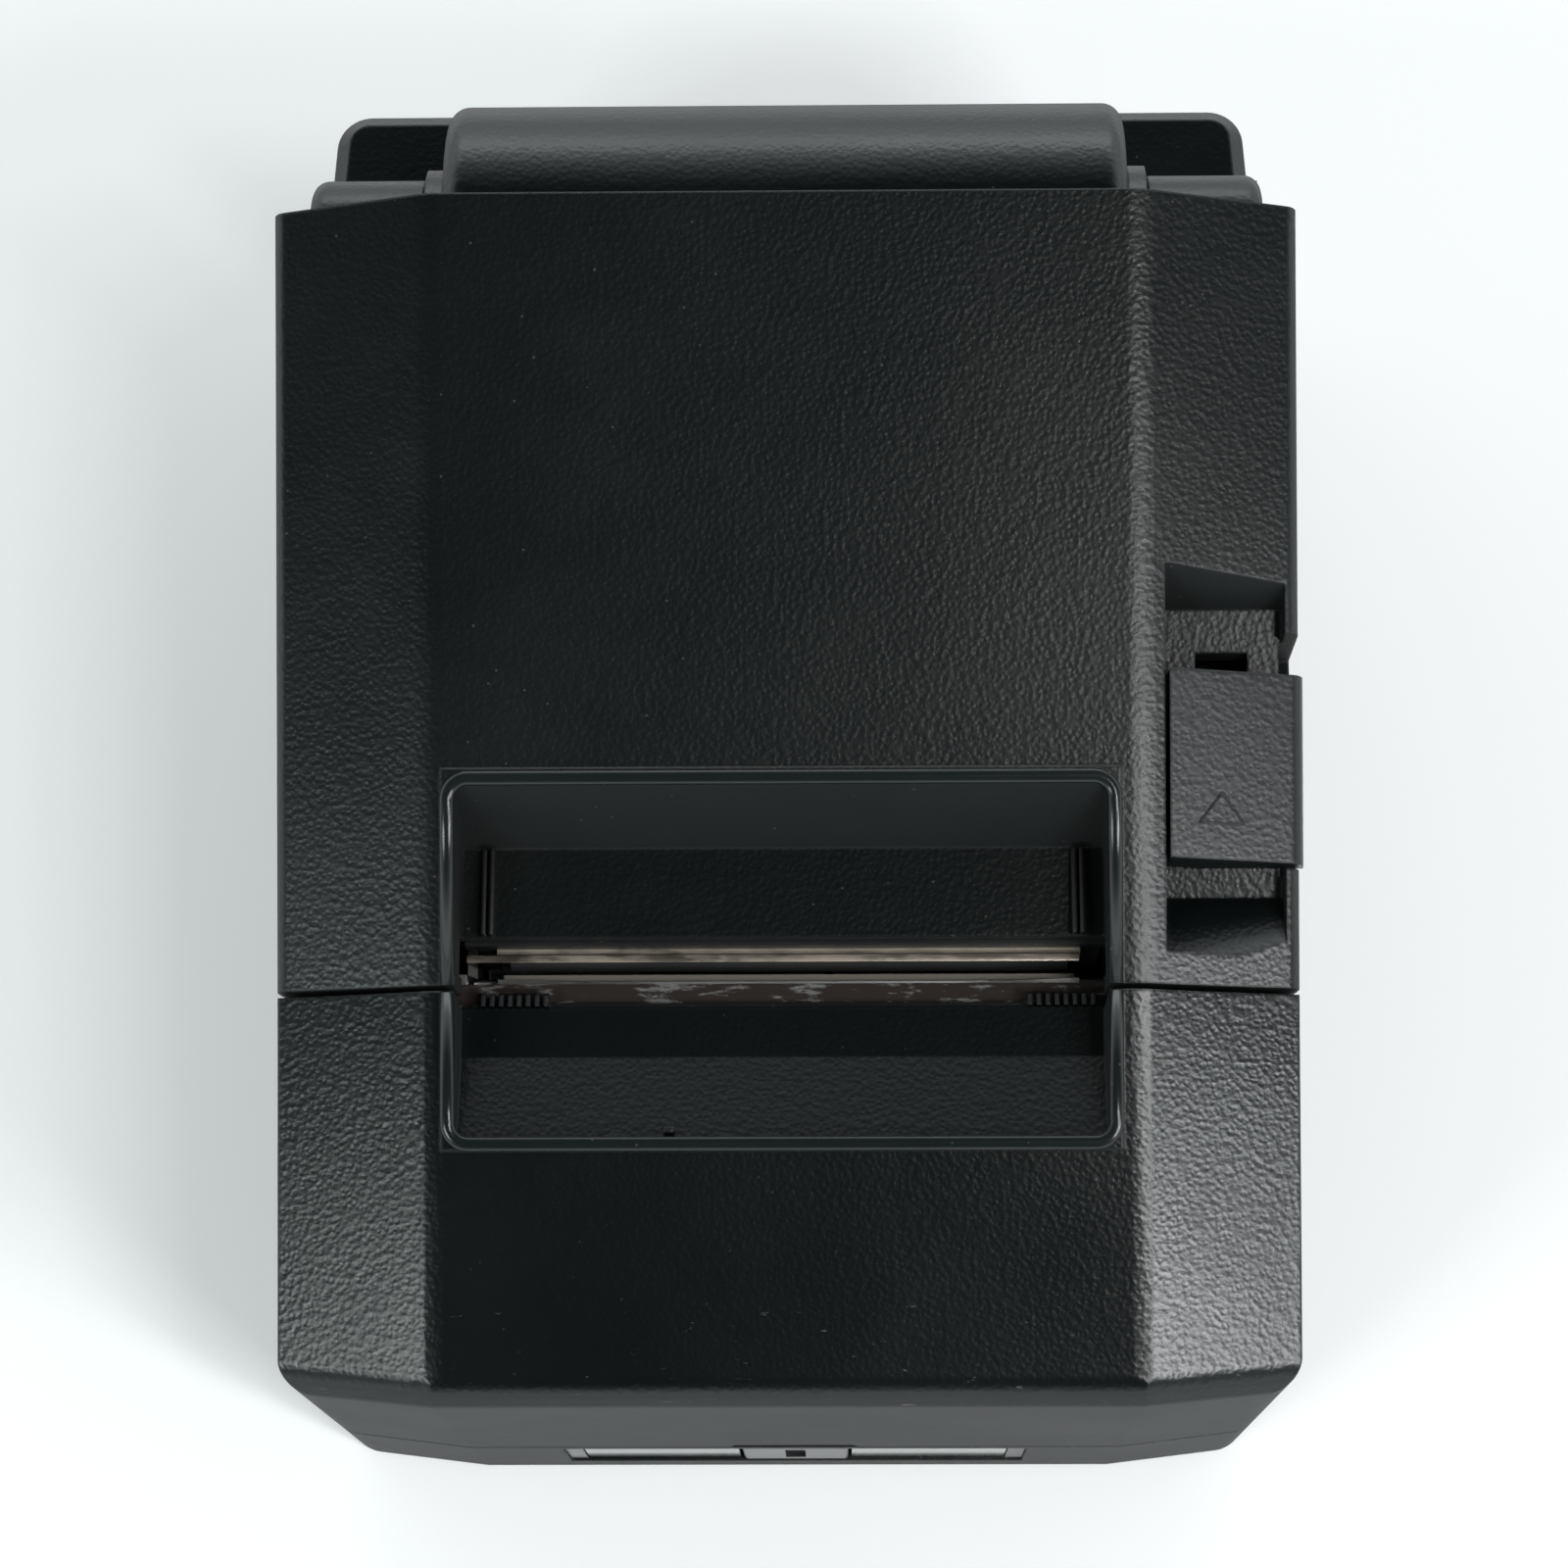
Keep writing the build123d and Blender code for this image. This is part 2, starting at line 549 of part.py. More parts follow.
def head_heatsink():
    half = PLATE_X - 0.6
    sink = tilt_box(HEAD_GAP + HEAD_T, HEAD_GAP + HEAD_T + SINK_T, HEAD_LOW, HEAD_TOP, -half, half)
    for k in range(9):
        x = -36 + 9 * k
        sink = sink - tilt_box(HEAD_GAP + HEAD_T + 2.2, 9, HEAD_LOW + 5.5, HEAD_TOP - 6.5, x - 2.5, x + 2.5)
    pivot = tilt([(HEAD_PIVOT_U, HEAD_PIVOT_V)])[0]
    return sink - xcyl(pivot[0], pivot[1], HEAD_PIN_R + RUN, -60, 60)


def head_pivot_pin():
    pivot = tilt([(HEAD_PIVOT_U, HEAD_PIVOT_V)])[0]
    return xcyl(pivot[0], pivot[1], HEAD_PIN_R, -PLATE_X - PLATE_T - 0.5, PLATE_X + PLATE_T + 0.5)


def head_springs():
    items = []
    for x in spring_spot():
        base = tilt([(HEAD_GAP + HEAD_T + SINK_T, 0.0)])[0]
        path_dir = (0, OUT_Y, OUT_Z)
        length = 10.0 - HEAD_T - SINK_T
        plane = Plane(origin=(x, base[0], base[1]), z_dir=path_dir)
        coil = Helix(pitch=length / 4, height=length - 0.8, radius=1.9)
        ring = Plane(origin=coil @ 0, z_dir=coil % 0) * Circle(0.35)
        wire = sweep(ring, path=coil)
        items.append(plane.location * (Pos(0, 0, 0.4) * wire))
    return Compound(children=items)


def moving_blade():
    rear = MOVE_TIP_Y - MOVE_LEN
    points = [(-MOVE_HALF, rear), (MOVE_HALF, rear), (MOVE_HALF, MOVE_TIP_Y)]
    points += [(0, MOVE_TIP_Y - 1.6), (-MOVE_HALF, MOVE_TIP_Y)]
    face = make_face(Polyline(*points, close=True))
    blade = Pos(0, 0, MOVE_Z) * extrude(face, amount=MOVE_T)
    blade = blade + rack()
    return blade


def rack():
    pitch = math.pi * MOD
    slope = math.tan(math.radians(20))
    half = pitch / 4 - BACKLASH / 2
    low = RACK_PITCH_Z - MOD
    high = RACK_PITCH_Z + 1.25 * MOD
    bar = box(RACK_X0, RACK_X1, CUT_Y - 3.5 * pitch, CUT_Y + 3.5 * pitch, high, MOVE_Z + 0.1)
    for k in range(-3, 3):
        mid = CUT_Y + (k + 0.5) * pitch
        tooth = yz_prism([
            (mid - half - slope * 1.25 * MOD, high + 0.05), (mid - half + slope * MOD, low),
            (mid + half - slope * MOD, low), (mid + half + slope * 1.25 * MOD, high + 0.05),
        ], RACK_X0, RACK_X1)
        bar = bar + tooth
    return bar


def cutter_shaft():
    shaft = xcyl(CUT_Y, CUT_Z, 2.0, GEAR_X0, PLATE_X + PLATE_T + 1)
    wheel = Pos(GEAR_X0, CUT_Y, CUT_Z) * gear(CUT_GEAR_T, 0, GEAR_W, 225)
    pinion = Pos(RACK_X0 - 0.2, CUT_Y, CUT_Z) * gear(PINION_T, 0, RACK_X1 - RACK_X0 + 0.4, 90)
    return shaft + wheel + pinion


def cutter_pinion():
    wheel = gear(PINION_T, 0, GEAR_W, 45 + 180 / PINION_T)
    hub = xcyl(0, 0, 1.2, GEAR_W, -PLATE_X - GEAR_X0 + 2)
    return Pos(GEAR_X0, CUT_PIN_Y, CUT_PIN_Z) * (wheel + hub)


def cutter_motor():
    body = xcyl(CUT_PIN_Y, CUT_PIN_Z, 8.5, -PLATE_X, -PLATE_X + 30)
    body = body & box(-60, 0, CUT_PIN_Y - 9, CUT_PIN_Y + 9, CUT_PIN_Z - 7, CUT_PIN_Z + 7)
    body = body - xcyl(CUT_PIN_Y, CUT_PIN_Z, 1.2 + RUN, -60, -PLATE_X + 3)
    return body + xcyl(CUT_PIN_Y, CUT_PIN_Z, 3.0, -PLATE_X + 30, -PLATE_X + 31.5)


def feed_motor():
    x0 = -PLATE_X
    body = box(x0 + 1, x0 + 25, PINION_Y - 14, PINION_Y + 14, PINION_Z - 14, PINION_Z + 14)
    body = body + xcyl(PINION_Y, PINION_Z, 5.0, x0 - 0.5, x0 + 2)
    return body - xcyl(PINION_Y, PINION_Z, 1.5 + RUN, x0 - 2, x0 + 4)


def cutter_top_plate():
    rear = MOVE_TIP_Y - 1.0
    plate = box(-PLATE_X - PLATE_T, PLATE_X + PLATE_T, CH_FRONT + 8, rear, TOP_PLATE_Z, TOP_PLATE_Z + 1.0)
    plate = plate + box(-45, 45, CH_FRONT + 8, CH_FRONT + 9, TOP_PLATE_Z - 6, TOP_PLATE_Z)
    for x in (-44.0, 44.0):
        plate = plate - zcyl(x, -68, 1.2, 90, 100)
    return plate


def guide_combs():
    base_z = TOP_PLATE_Z + 1.0
    strip = box(-46.0, 46.0, PART_Y - 1.6, PART_Y + 0.2, base_z, base_z + 1.0)
    for side in (-1, 1):
        for k in range(8):
            x = side * (35 + 1.3 * k)
            rib = yz_prism([
                (PART_Y - 0.6, base_z + 0.8), (PART_Y + 1.8, base_z + 0.8), (PART_Y + 1.2, base_z + 2.6),
                (PART_Y - 0.6, base_z + 3.2),
            ], x - 0.35, x + 0.35)
            strip = strip + rib
    return strip


def nose(inset):
    """Rounded front edge: one straight prism and one along each side facet's edge."""
    y = FRONT + inset
    back = PART_Y + 40
    drop = inset / math.cos(math.radians(FRONT_SLOPE))
    points = [(y, -80), (y, front_z(y) - drop), (back, front_z(back) - drop), (back, -80)]
    face = make_face(Polyline(*points, close=True))
    tip = [v for v in face.vertices() if abs(v.X - y) < 0.01 and v.Y > 0]
    face = Plane.YZ * fillet(tip, FRONT_EDGE_R - inset)
    solid = Pos(-90, 0, 0) * extrude(face, amount=180)
    for side in (-1, 1):
        step = Vector(side * (HALF - CREASE_X), FRONT_FACET, -CREASE_DROP)
        start = Vector(side * CREASE_X, 0, 0) - step * 6
        prism = extrude(Pos(start.X, start.Y, start.Z) * face, amount=step.length * 8, dir=step)
        solid = solid & prism
    return solid


def front_block(inset):
    rear = PART_Y - GAP / 2 if inset == 0 else PART_Y + 5
    low = LIP_Z + GAP if inset == 0 else 0
    zone = box(-80, 80, -110, rear, low, H + 5)
    if inset == 0:
        zone = zone + (box(-80, 80, PART_Y - 2, PART_Y + 6, SKIRT_Z, H + 5) - swing(EDGE_R + GAP))
    return roof(inset, FRONT_SLOPE, FRONT - 5, PART_Y + 8) & zone & plan(inset, low, H + 5) & nose(inset)


def front_cover():
    block = front_block(0)
    shell = block - front_block(WALL)
    tray = [
        (PART_Y - 0.8, TRAY_Z - 1.6), (OPEN_FRONT_Y, RECESS_Z - 1.8), (OPEN_FRONT_Y - 2, RECESS_Z - 1.5),
        (OPEN_FRONT_Y - 2, front_z(OPEN_FRONT_Y - 2) - 0.5), (PART_Y - 0.4, front_z(PART_Y) - 0.5),
    ]
    shell = shell + (pocket(tray, 0, 2) & block)
    rim_y = OPEN_FRONT_Y - RIM
    rim = [
        (PART_Y - GAP / 2, front_z(PART_Y - GAP / 2) - 1), (rim_y, front_z(rim_y) - 1),
        (rim_y, front_z(rim_y) + RIM_H), (PART_Y - GAP / 2, front_z(PART_Y - GAP / 2) + RIM_H),
    ]
    shell = shell + pocket(rim, 0, RIM)
    hollow = [
        (PART_Y + 1, H), (PART_Y + 1, TRAY_Z), (PART_Y - 8, TRAY_Z - 0.2), (OPEN_FRONT_Y, RECESS_Z + 0.3),
        (OPEN_FRONT_Y - 0.4, H),
    ]
    shell = shell - pocket(hollow, 0, 0)
    scoop = Pos(0, FRONT - 24.0, LIP_Z + GAP) * Cylinder(26.0, 5.5)
    shell = shell - scoop
    for x, y in FRONT_SCREWS:
        shell = shell + (zcyl(x, y, 3.2, LIP_Z + 2, front_z(y) - 1) & block)
        shell = shell - zcyl(x, y, 1.2, LIP_Z, LIP_Z + 12)
    return shell


def lower_case():
    block = plan(0, FOOT_H, SKIRT_Z - GAP)
    inner = plan(WALL, FOOT_H + WALL, H)
    case = block - inner
    case = case - box(-80, 80, -110, PART_Y - GAP / 2, LIP_Z, H)
    case = case - box(-80, 80, DECK_Y0, 110, DECK_Z - WALL - CLEAR, H)
    case = case - box(-BAY_HALF, BAY_HALF, FRONT - 3, FRONT + 4, BAY_Z0, BAY_Z1)
    case = case - box(-PANEL_HALF, PANEL_HALF, REAR - 5, REAR + 3, SOCKET_Z - 2.5, PANEL_TOP)
    case = case - box(-HALF - 2, -HALF + 5, SWITCH_Y - 10, SWITCH_Y + 10, SWITCH_Z - 6.5, SWITCH_Z + 6.5)
    for x, y in CH_SCREWS:
        case = case + zcyl(x, y, 4.0, FOOT_H + 1, CH_Z)
        case = case - zcyl(x, y, 1.2, CH_Z - 10, CH_Z + 1)
    for x, y in FRONT_SCREWS:
        case = case + zcyl(x, y, 4.0, FOOT_H + 1, LIP_Z + 2)
        case = case - zcyl(x, y, 1.6, 0, LIP_Z + 3)
        case = case - zcyl(x, y, 2.8, 0, LIP_Z - 4)
    for x, y in CASE_BOSSES:
        case = case + zcyl(x, y, 4.0, FOOT_H + 1, WELL_RIM_Z - WELL_T)
        case = case - zcyl(x, y, 1.2, WELL_RIM_Z - 12, WELL_RIM_Z)
    for x, y in BOARD_SCREWS:
        case = case + zcyl(x, y, 3.0, FOOT_H + 1, BOARD_Z)
        case = case - zcyl(x, y, 1.0, FOOT_H + WALL, BOARD_Z + 1)
    for sx in (-1, 1):
        for sy in (-1, 1):
            x = sx * MOUNT_X / 2
            y = sy * MOUNT_Y / 2
            case = case + (zcyl(x, y, 4.0, FOOT_H, FOOT_H + 8) & plan(1, 0, H))
            case = case - zcyl(x, y, MOUNT_R, 0, FOOT_H + 6)
    for x, y in FEET:
        case = case - zcyl(x, y, 6.0, 0, FOOT_H + 1.0)
    return case


def rear_housing():
    deck = plan(0, DECK_Z - WALL, DECK_Z) & box(-W, W, DECK_Y0, REAR + 8, 0, H)
    brim = [e for e in deck.edges() if e.center().Z > DECK_Z - 0.1 and e.center().Y > REAR - 4]
    deck = chamfer(brim, 2.2)
    lip = plan(WALL + CLEAR, DECK_Z - 8, DECK_Z - 1) - plan(WALL + CLEAR + 2, 0, H)
    deck = deck + (lip & box(-W, W, DECK_Y0, REAR + 8, 0, H))
    back = HINGE_Y + HOOD_R
    hood = xcyl(HINGE_Y, HINGE_Z, HOOD_R, -HOOD_X, HOOD_X)
    hood = hood + box(-HOOD_X, HOOD_X, HINGE_Y, back, DECK_Z - 1, HINGE_Z)
    ends = [e for e in hood.edges() if abs(abs(e.center().X) - HOOD_X) < 0.1 and e.center().Z > DECK_Z + 2]
    hood = fillet(ends, 3.0)
    core = xcyl(HINGE_Y, HINGE_Z, HOOD_R - WALL, -HOOD_X + WALL, HOOD_X - WALL)
    core = core + box(-HOOD_X + WALL, HOOD_X - WALL, HINGE_Y - 30, back - WALL, DECK_Z - 9, HINGE_Z)
    hood = hood - core - box(-60, 60, HINGE_Y - 30, HINGE_Y - 6, 60, HINGE_Z + 2)
    hood = hood - box(-60, 60, HINGE_Y - 30, HINGE_Y - 0.5, 60, HINGE_Z - 12)
    housing = deck + hood
    for side in (-1, 1):
        ends = sorted((side * TOWER_X0, side * TOWER_X1))
        tower = xcyl(HINGE_Y, HINGE_Z, TOWER_R, ends[0], ends[1])
        outer = [e for e in tower.edges() if abs(abs(e.center().X) - TOWER_X1) < 0.1]
        tower = fillet(outer, 2.5)
        tower = tower + box(ends[0], ends[1], HINGE_Y - TOWER_R, HINGE_Y + TOWER_R, DECK_Z - 1, HINGE_Z)
        inner = sorted((side * (TOWER_X0 + 4), side * (TOWER_X1 - WALL)))
        tower = tower - xcyl(HINGE_Y, HINGE_Z, TOWER_R - WALL, inner[0], inner[1])
        hole = box(inner[0], inner[1], HINGE_Y - 6.8, HINGE_Y + 6.8, DECK_Z - 9, HINGE_Z)
        housing = housing + tower - hole
        housing = housing - xcyl(HINGE_Y, HINGE_Z, HINGE_PIN_R, *sorted((side * (HOOD_X - 4), side * (TOWER_X0 + 5))))
    return housing


def hinge_pins():
    items = []
    for side in (-1, 1):
        ends = sorted((side * (HOOD_X - WALL - 1), side * (TOWER_X0 + 4)))
        items.append(xcyl(HINGE_Y, HINGE_Z, HINGE_PIN_R, ends[0], ends[1]))
    return Compound(children=items)


def roll_well():
    outer = xcyl(WELL_Y, WELL_Z, WELL_R + WELL_T, -WELL_HALF - WELL_T, WELL_HALF + WELL_T)
    outer = outer & box(-60, 60, -40, 90, 0, WELL_RIM_Z)
    well = outer - xcyl(WELL_Y, WELL_Z, WELL_R, -WELL_HALF, WELL_HALF)
    rim = box(-CASE_IN, CASE_IN, 6, 63, WELL_RIM_Z - WELL_T, WELL_RIM_Z)
    gap = box(-WELL_HALF - 1, WELL_HALF + 1, WELL_Y - 50, WELL_Y + WELL_R + 1, WELL_RIM_Z - 5, WELL_RIM_Z + 1)
    well = well + (rim - gap)
    well = well - box(-WELL_HALF - WELL_T - 1, -WELL_HALF + 1, 36, 52, 52, 66)
    for x, y in CASE_BOSSES:
        well = well - zcyl(x, y, 1.6, WELL_RIM_Z - 5, WELL_RIM_Z + 1)
    return well


def near_end_lever():
    arm = box(NEAR_X - 1.2, NEAR_X + 1.2, NEAR_Y, NEAR_Y + 16, 55, 63)
    tip = box(NEAR_X, -WELL_HALF + 1.2, NEAR_Y + 11, NEAR_Y + 16, 55, 63)
    hub = zcyl(NEAR_X, NEAR_Y, 3.0, 55, 63)
    return (arm + tip + hub) - zcyl(NEAR_X, NEAR_Y, 1.5 + RUN, 50, 70)


def near_end_sensor():
    block = box(NEAR_X - 12, NEAR_X + 4, NEAR_Y - 5, NEAR_Y + 5, 48, 54.5)
    back = box(NEAR_X - 12, NEAR_X - 8, NEAR_Y - 5, NEAR_Y + 14, 48, 66)
    arm = box(NEAR_X - 12, NEAR_X + 4, NEAR_Y - 5, NEAR_Y + 5, 63.5, 66)
    pin = zcyl(NEAR_X, NEAR_Y, 1.5, 54, 64)
    tab = box(NEAR_X - 2, -WELL_HALF - WELL_T, NEAR_Y - 5, NEAR_Y - 3.6, 48, 66)
    return block + back + arm + pin + tab


def release_lever():
    y0 = KNOB_Y0
    y1 = KNOB_Y1
    top = 0.6
    knob = (
        roof(-top, TOP_SLOPE, y0 - 2, y1 + 2)
        & yz_prism([(y0, 60), (y1, 60), (y1, H + 9), (y0, H + 9)], KNOB_X0, HALF + 1)
    )
    under = [
        (y0 - 1, top_z(y0) - 7.5), (y1 + 1, top_z(y1) - 7.5), (y1 + 1, 50), (y0 - 1, 50),
    ]
    knob = knob - yz_prism(under, KNOB_X0 - 1, HALF - 1.6)
    knob = knob - box(HALF - 2, HALF + 3, y0 - 1, y1 + 1, 50, LATCH_Z + 8)
    low = roof(4.5, TOP_SLOPE, y0 - 3, y1 + 3) & box(KNOB_X0 - 1, HALF - 1.6, y0 - 1, y1 + 1, 50, H)
    knob = knob - (low - box(TROUGH_X0 + 4, TROUGH_X0 + 13.5, -90, 90, 50, H))
    x0 = TROUGH_X0 + 6
    x1 = TROUGH_X0 + 11.5
    stem = box(x0, x1, LATCH_Y - 3.5, LATCH_Y + 3.5, LATCH_Z, top_z(LATCH_Y) - 5)
    hub = xcyl(LATCH_Y, LATCH_Z, 4.5, x0, x1)
    body = knob + stem + hub - xcyl(LATCH_Y, LATCH_Z, LATCH_R, x0 - 1, x1 + 1)
    return body


def latch_shaft():
    return xcyl(LATCH_Y, LATCH_Z, LATCH_R, -HOOK_X - HOOK_T - 2, TROUGH_X0 + 12)


def latch_hooks():
    items = []
    for side in (-1, 1):
        ends = sorted((side * HOOK_X, side * (HOOK_X + HOOK_T)))
        hook = yz_prism([
            (LATCH_Y - 4, LATCH_Z + 1), (LATCH_Y + 4, LATCH_Z + 1), (LATCH_Y + 3, LATCH_Z - 8),
            (STUD_Y - 3, STUD_Z + 5), (STUD_Y - 3, STUD_Z - 2.8), (STUD_Y - 0.8, STUD_Z - 2.8),
            (STUD_Y - 0.8, STUD_Z - 5.5), (STUD_Y - 6.5, STUD_Z - 5.5), (STUD_Y - 6.5, STUD_Z + 8),
        ], ends[0], ends[1])
        hook = hook + xcyl(LATCH_Y, LATCH_Z, 4.2, ends[0], ends[1])
        items.append(hook - xcyl(LATCH_Y, LATCH_Z, LATCH_R, ends[0] - 1, ends[1] + 1))
    return Compound(children=items)


def latch_spring():
    coil = Helix(pitch=0.9, height=4.5, radius=LATCH_R + 0.8)
    ring = Plane(origin=coil @ 0, z_dir=coil % 0) * Circle(0.3)
    wire = sweep(ring, path=coil)
    return Pos(LATCH_EAR_X - 6.5, LATCH_Y, LATCH_Z) * (Rot(0, 90, 0) * wire)


def status_window(side):
    ends = sorted((side * WINDOW_X0, side * WINDOW_X1))
    return box(ends[0], ends[1], FRONT + 0.6, FRONT + 2.6, BAY_Z0 + 0.3, BAY_Z1 - 0.3)


def bay_ends():
    items = []
    for side in (-1, 1):
        ends = sorted((side * (WINDOW_X1 + 0.2), side * BAY_HALF))
        items.append(box(ends[0], ends[1], FRONT + 0.4, FRONT + 4, BAY_Z0, BAY_Z1))
    return Compound(children=items)


def feed_button():
    cap = box(-BUTTON_HALF, BUTTON_HALF, FRONT + 0.2, FRONT + 3.5, BAY_Z0 + 0.5, BAY_Z1 - 0.5)
    front = [e for e in cap.edges() if e.center().Y < FRONT + 0.3]
    cap = fillet(front, 0.8)
    cap = cap - (Pos(0, FRONT - 1.0, (BAY_Z0 + BAY_Z1) / 2) * Box(3.2, 4.0, 12))
    stem = ycyl(0, (BAY_Z0 + BAY_Z1) / 2, 1.8, FRONT + 3, FRONT + 5.2)
    return cap + stem


def button_board():
    y0 = FRONT + 8.5
    board = box(-34, 34, y0, y0 + 1.6, FOOT_H + WALL, BAY_Z1)
    switch = box(-3, 3, y0 - 1.6, y0, 17, 23)
    lights = [box(x - 1.5, x + 1.5, y0 - 1.2, y0, 18.5, 21.5) for x in (-27, -20, -13, 13, 20, 27)]
    return fuse([board, switch] + lights)


def power_switch_body():
    x0 = -HALF
    frame = box(x0 + 0.3, x0 + 15, SWITCH_Y - 9.8, SWITCH_Y + 9.8, SWITCH_Z - 6.3, SWITCH_Z + 6.3)
    return frame - box(x0 - 1, x0 + 8, SWITCH_Y - 8.2, SWITCH_Y + 8.2, SWITCH_Z - 5.2, SWITCH_Z + 5.2)


def power_rocker():
    points = [
        (ROCKER_X + 2.0, SWITCH_Y - 5.0), (ROCKER_X - 1.2, SWITCH_Y - 7.4), (ROCKER_X - 2.6, SWITCH_Y),
        (ROCKER_X - 4.6, SWITCH_Y + 7.2), (ROCKER_X + 2.0, SWITCH_Y + 5.0),
    ]
    face = make_face(Polyline(*points, close=True))
    body = Pos(0, 0, SWITCH_Z - 4.8) * extrude(face, amount=9.6)
    return body - zcyl(ROCKER_X, SWITCH_Y, 1.0 + RUN, SWITCH_Z - 9, SWITCH_Z + 9)


def rocker_pin():
    return zcyl(ROCKER_X, SWITCH_Y, 1.0, SWITCH_Z - 5.2, SWITCH_Z + 5.2)


def rubber_feet():
    items = []
    for x, y in FEET:
        items.append(zcyl(x, y, 6.0, 0, FOOT_H + 1.0))
    return Compound(children=items)


def case_screws():
    items = [screw(x, y, LIP_Z - 4, 1.2, 14.0, 2.6, 1.6, True) for x, y in FRONT_SCREWS]
    items += [screw(x, y, WELL_RIM_Z, 1.2, 9.0, 2.6, 1.6) for x, y in CASE_BOSSES]
    return Compound(children=items)


def chassis_screws():
    return Compound(children=[screw(x, y, CH_Z + PLATE_T, 1.2, 9.0, 2.6, 1.6) for x, y in CH_SCREWS])


def main_board():
    board = box(-66, 66, -2, 84, BOARD_Z, BOARD_Z + BOARD_T)
    for x, y in BOARD_SCREWS:
        board = board - zcyl(x, y, 1.3, BOARD_Z - 1, BOARD_Z + 3)
    for x, y in CASE_BOSSES + [(-MOUNT_X / 2, MOUNT_Y / 2), (MOUNT_X / 2, MOUNT_Y / 2)]:
        board = board - zcyl(x, y, 4.6, BOARD_Z - 1, BOARD_Z + 3)
    return board


def board_components():
    z = BOARD_Z + BOARD_T
    items = [box(-10, 8, 20, 38, z, z + 1.6), box(18, 30, 24, 34, z, z + 1.4), box(-40, -28, 16, 26, z, z + 4)]
    items += [zcyl(x, 52, 4.0, z, z + 10) for x in (-52.0, -40.0)]
    items += [box(36 + 7 * k, 40 + 7 * k, 8, 16, z, z + 2) for k in range(3)]
    items += [box(-24, 24, 1, 6, z, z + 6), box(-54, -46, 30, 40, z, z + 7)]
    items += [box(10 + 4 * k, 12 + 4 * k, 46, 47.2, z, z + 0.8) for k in range(8)]
    return Compound(children=items)


def board_screws():
    return Compound(children=[screw(x, y, BOARD_Z + BOARD_T, 1.0, 4.0, 2.2, 1.4) for x, y in BOARD_SCREWS])


def port(name):
    x, wide, high = PORTS[name]
    z = SOCKET_Z
    body = box(x - wide / 2, x + wide / 2, REAR - 18, REAR - 1.0, z, z + high)
    if name == "power_inlet":
        body = body - ycyl(x, z + high / 2, 5.2, REAR - 12, REAR)
        for k in (-1, 0, 1):
            body = body + ycyl(x + 2.2 * k, z + high / 2 + 1.2 * abs(k), 0.6, REAR - 13, REAR - 5)
    elif name == "data_port":
        body = body - box(x - 4.2, x + 4.2, REAR - 11, REAR, z + 1.6, z + high - 1.6)
        body = body + box(x - 2.8, x + 2.8, REAR - 12, REAR - 4, z + 3.9, z + 7.1)
    else:
        half = 5.8 if name == "network_port" else 4.8
        body = body - box(x - half, x + half, REAR - 13, REAR, z + 2.0, z + high - 4.5)
        body = body - box(x - 3, x + 3, REAR - 13, REAR, z + 3.0, z + high - 2.5)
    return body


def interface_plate():
    plate = box(-PANEL_HALF, PANEL_HALF, REAR - 2.4, REAR - 1.2, SOCKET_Z - 2.5, PANEL_TOP)
    for x, wide, high in PORTS.values():
        half = wide / 2 + 0.3
        plate = plate - box(x - half, x + half, REAR - 5, REAR + 1, SOCKET_Z - 0.3, SOCKET_Z + high + 0.3)
    for k in range(7):
        plate = plate - box(44 + 2.4 * k, 45.2 + 2.4 * k, REAR - 5, REAR + 1, 14, 28)
    return plate


def paper_sensor():
    mid = WELL_Y - 22.0
    z = WELL_Z - math.sqrt((WELL_R + WELL_T) ** 2 - 22.0 ** 2)
    return box(-30, -20, mid - 5, mid + 5, z - 10, z - 5)


def flat_cable():
    points = [
        (-45.0, 34.0), (-44.4, 34.0), (-44.4, 60.0), (-40.4, 66.0), (-40.4, 74.0), (-41.0, 74.0),
        (-41.0, 66.4), (-45.0, 60.4),
    ]
    return yz_prism([(y - 9, z - 8) for y, z in points], 4, 30)


PARTS = {
    "lower_case": lower_case, "front_cover": front_cover, "rear_housing": rear_housing,
    "roll_well": roll_well, "mech_chassis": mech_chassis, "latch_studs": latch_studs,
    "cutter_top_plate": cutter_top_plate, "guide_combs": guide_combs, "feed_motor": feed_motor,
    "cutter_motor": cutter_motor, "main_board": main_board, "board_components": board_components,
    "board_screws": board_screws, "interface_plate": interface_plate, "bay_ends": bay_ends,
    "button_board": button_board, "power_switch_body": power_switch_body, "rocker_pin": rocker_pin,
    "rubber_feet": rubber_feet, "case_screws": case_screws, "chassis_screws": chassis_screws,
    "hinge_pins": hinge_pins, "idler_axle": idler_axle, "head_pivot_pin": head_pivot_pin,
    "head_springs": head_springs, "near_end_sensor": near_end_sensor, "paper_sensor": paper_sensor,
    "top_cover": top_cover, "platen_frame": platen_frame, "platen_bearings": platen_bearings,
    "fixed_blade": fixed_blade, "cover_screws": cover_screws, "latch_spring": latch_spring,
    "release_lever": release_lever, "latch_shaft": latch_shaft, "latch_hooks": latch_hooks,
    "platen_rubber": platen_rubber, "platen_shaft": platen_shaft, "platen_gear": platen_gear,
    "idler_gear": idler_gear, "feed_pinion": feed_pinion, "head_heatsink": head_heatsink,
    "thermal_head": thermal_head, "moving_blade": moving_blade, "cutter_shaft": cutter_shaft,
    "cutter_pinion": cutter_pinion, "feed_button": feed_button, "power_rocker": power_rocker,
    "near_end_lever": near_end_lever,
}

for name, make in PARTS.items():
    export_step(make(), "parts/" + name + ".step")
for name in PORTS:
    export_step(port(name), "parts/" + name + ".step")
export_step(status_window(-1), "parts/status_window_left.step")
export_step(status_window(1), "parts/status_window_right.step")
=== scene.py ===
import bmesh
import bpy
import numpy as np
from mathutils import Matrix, Vector


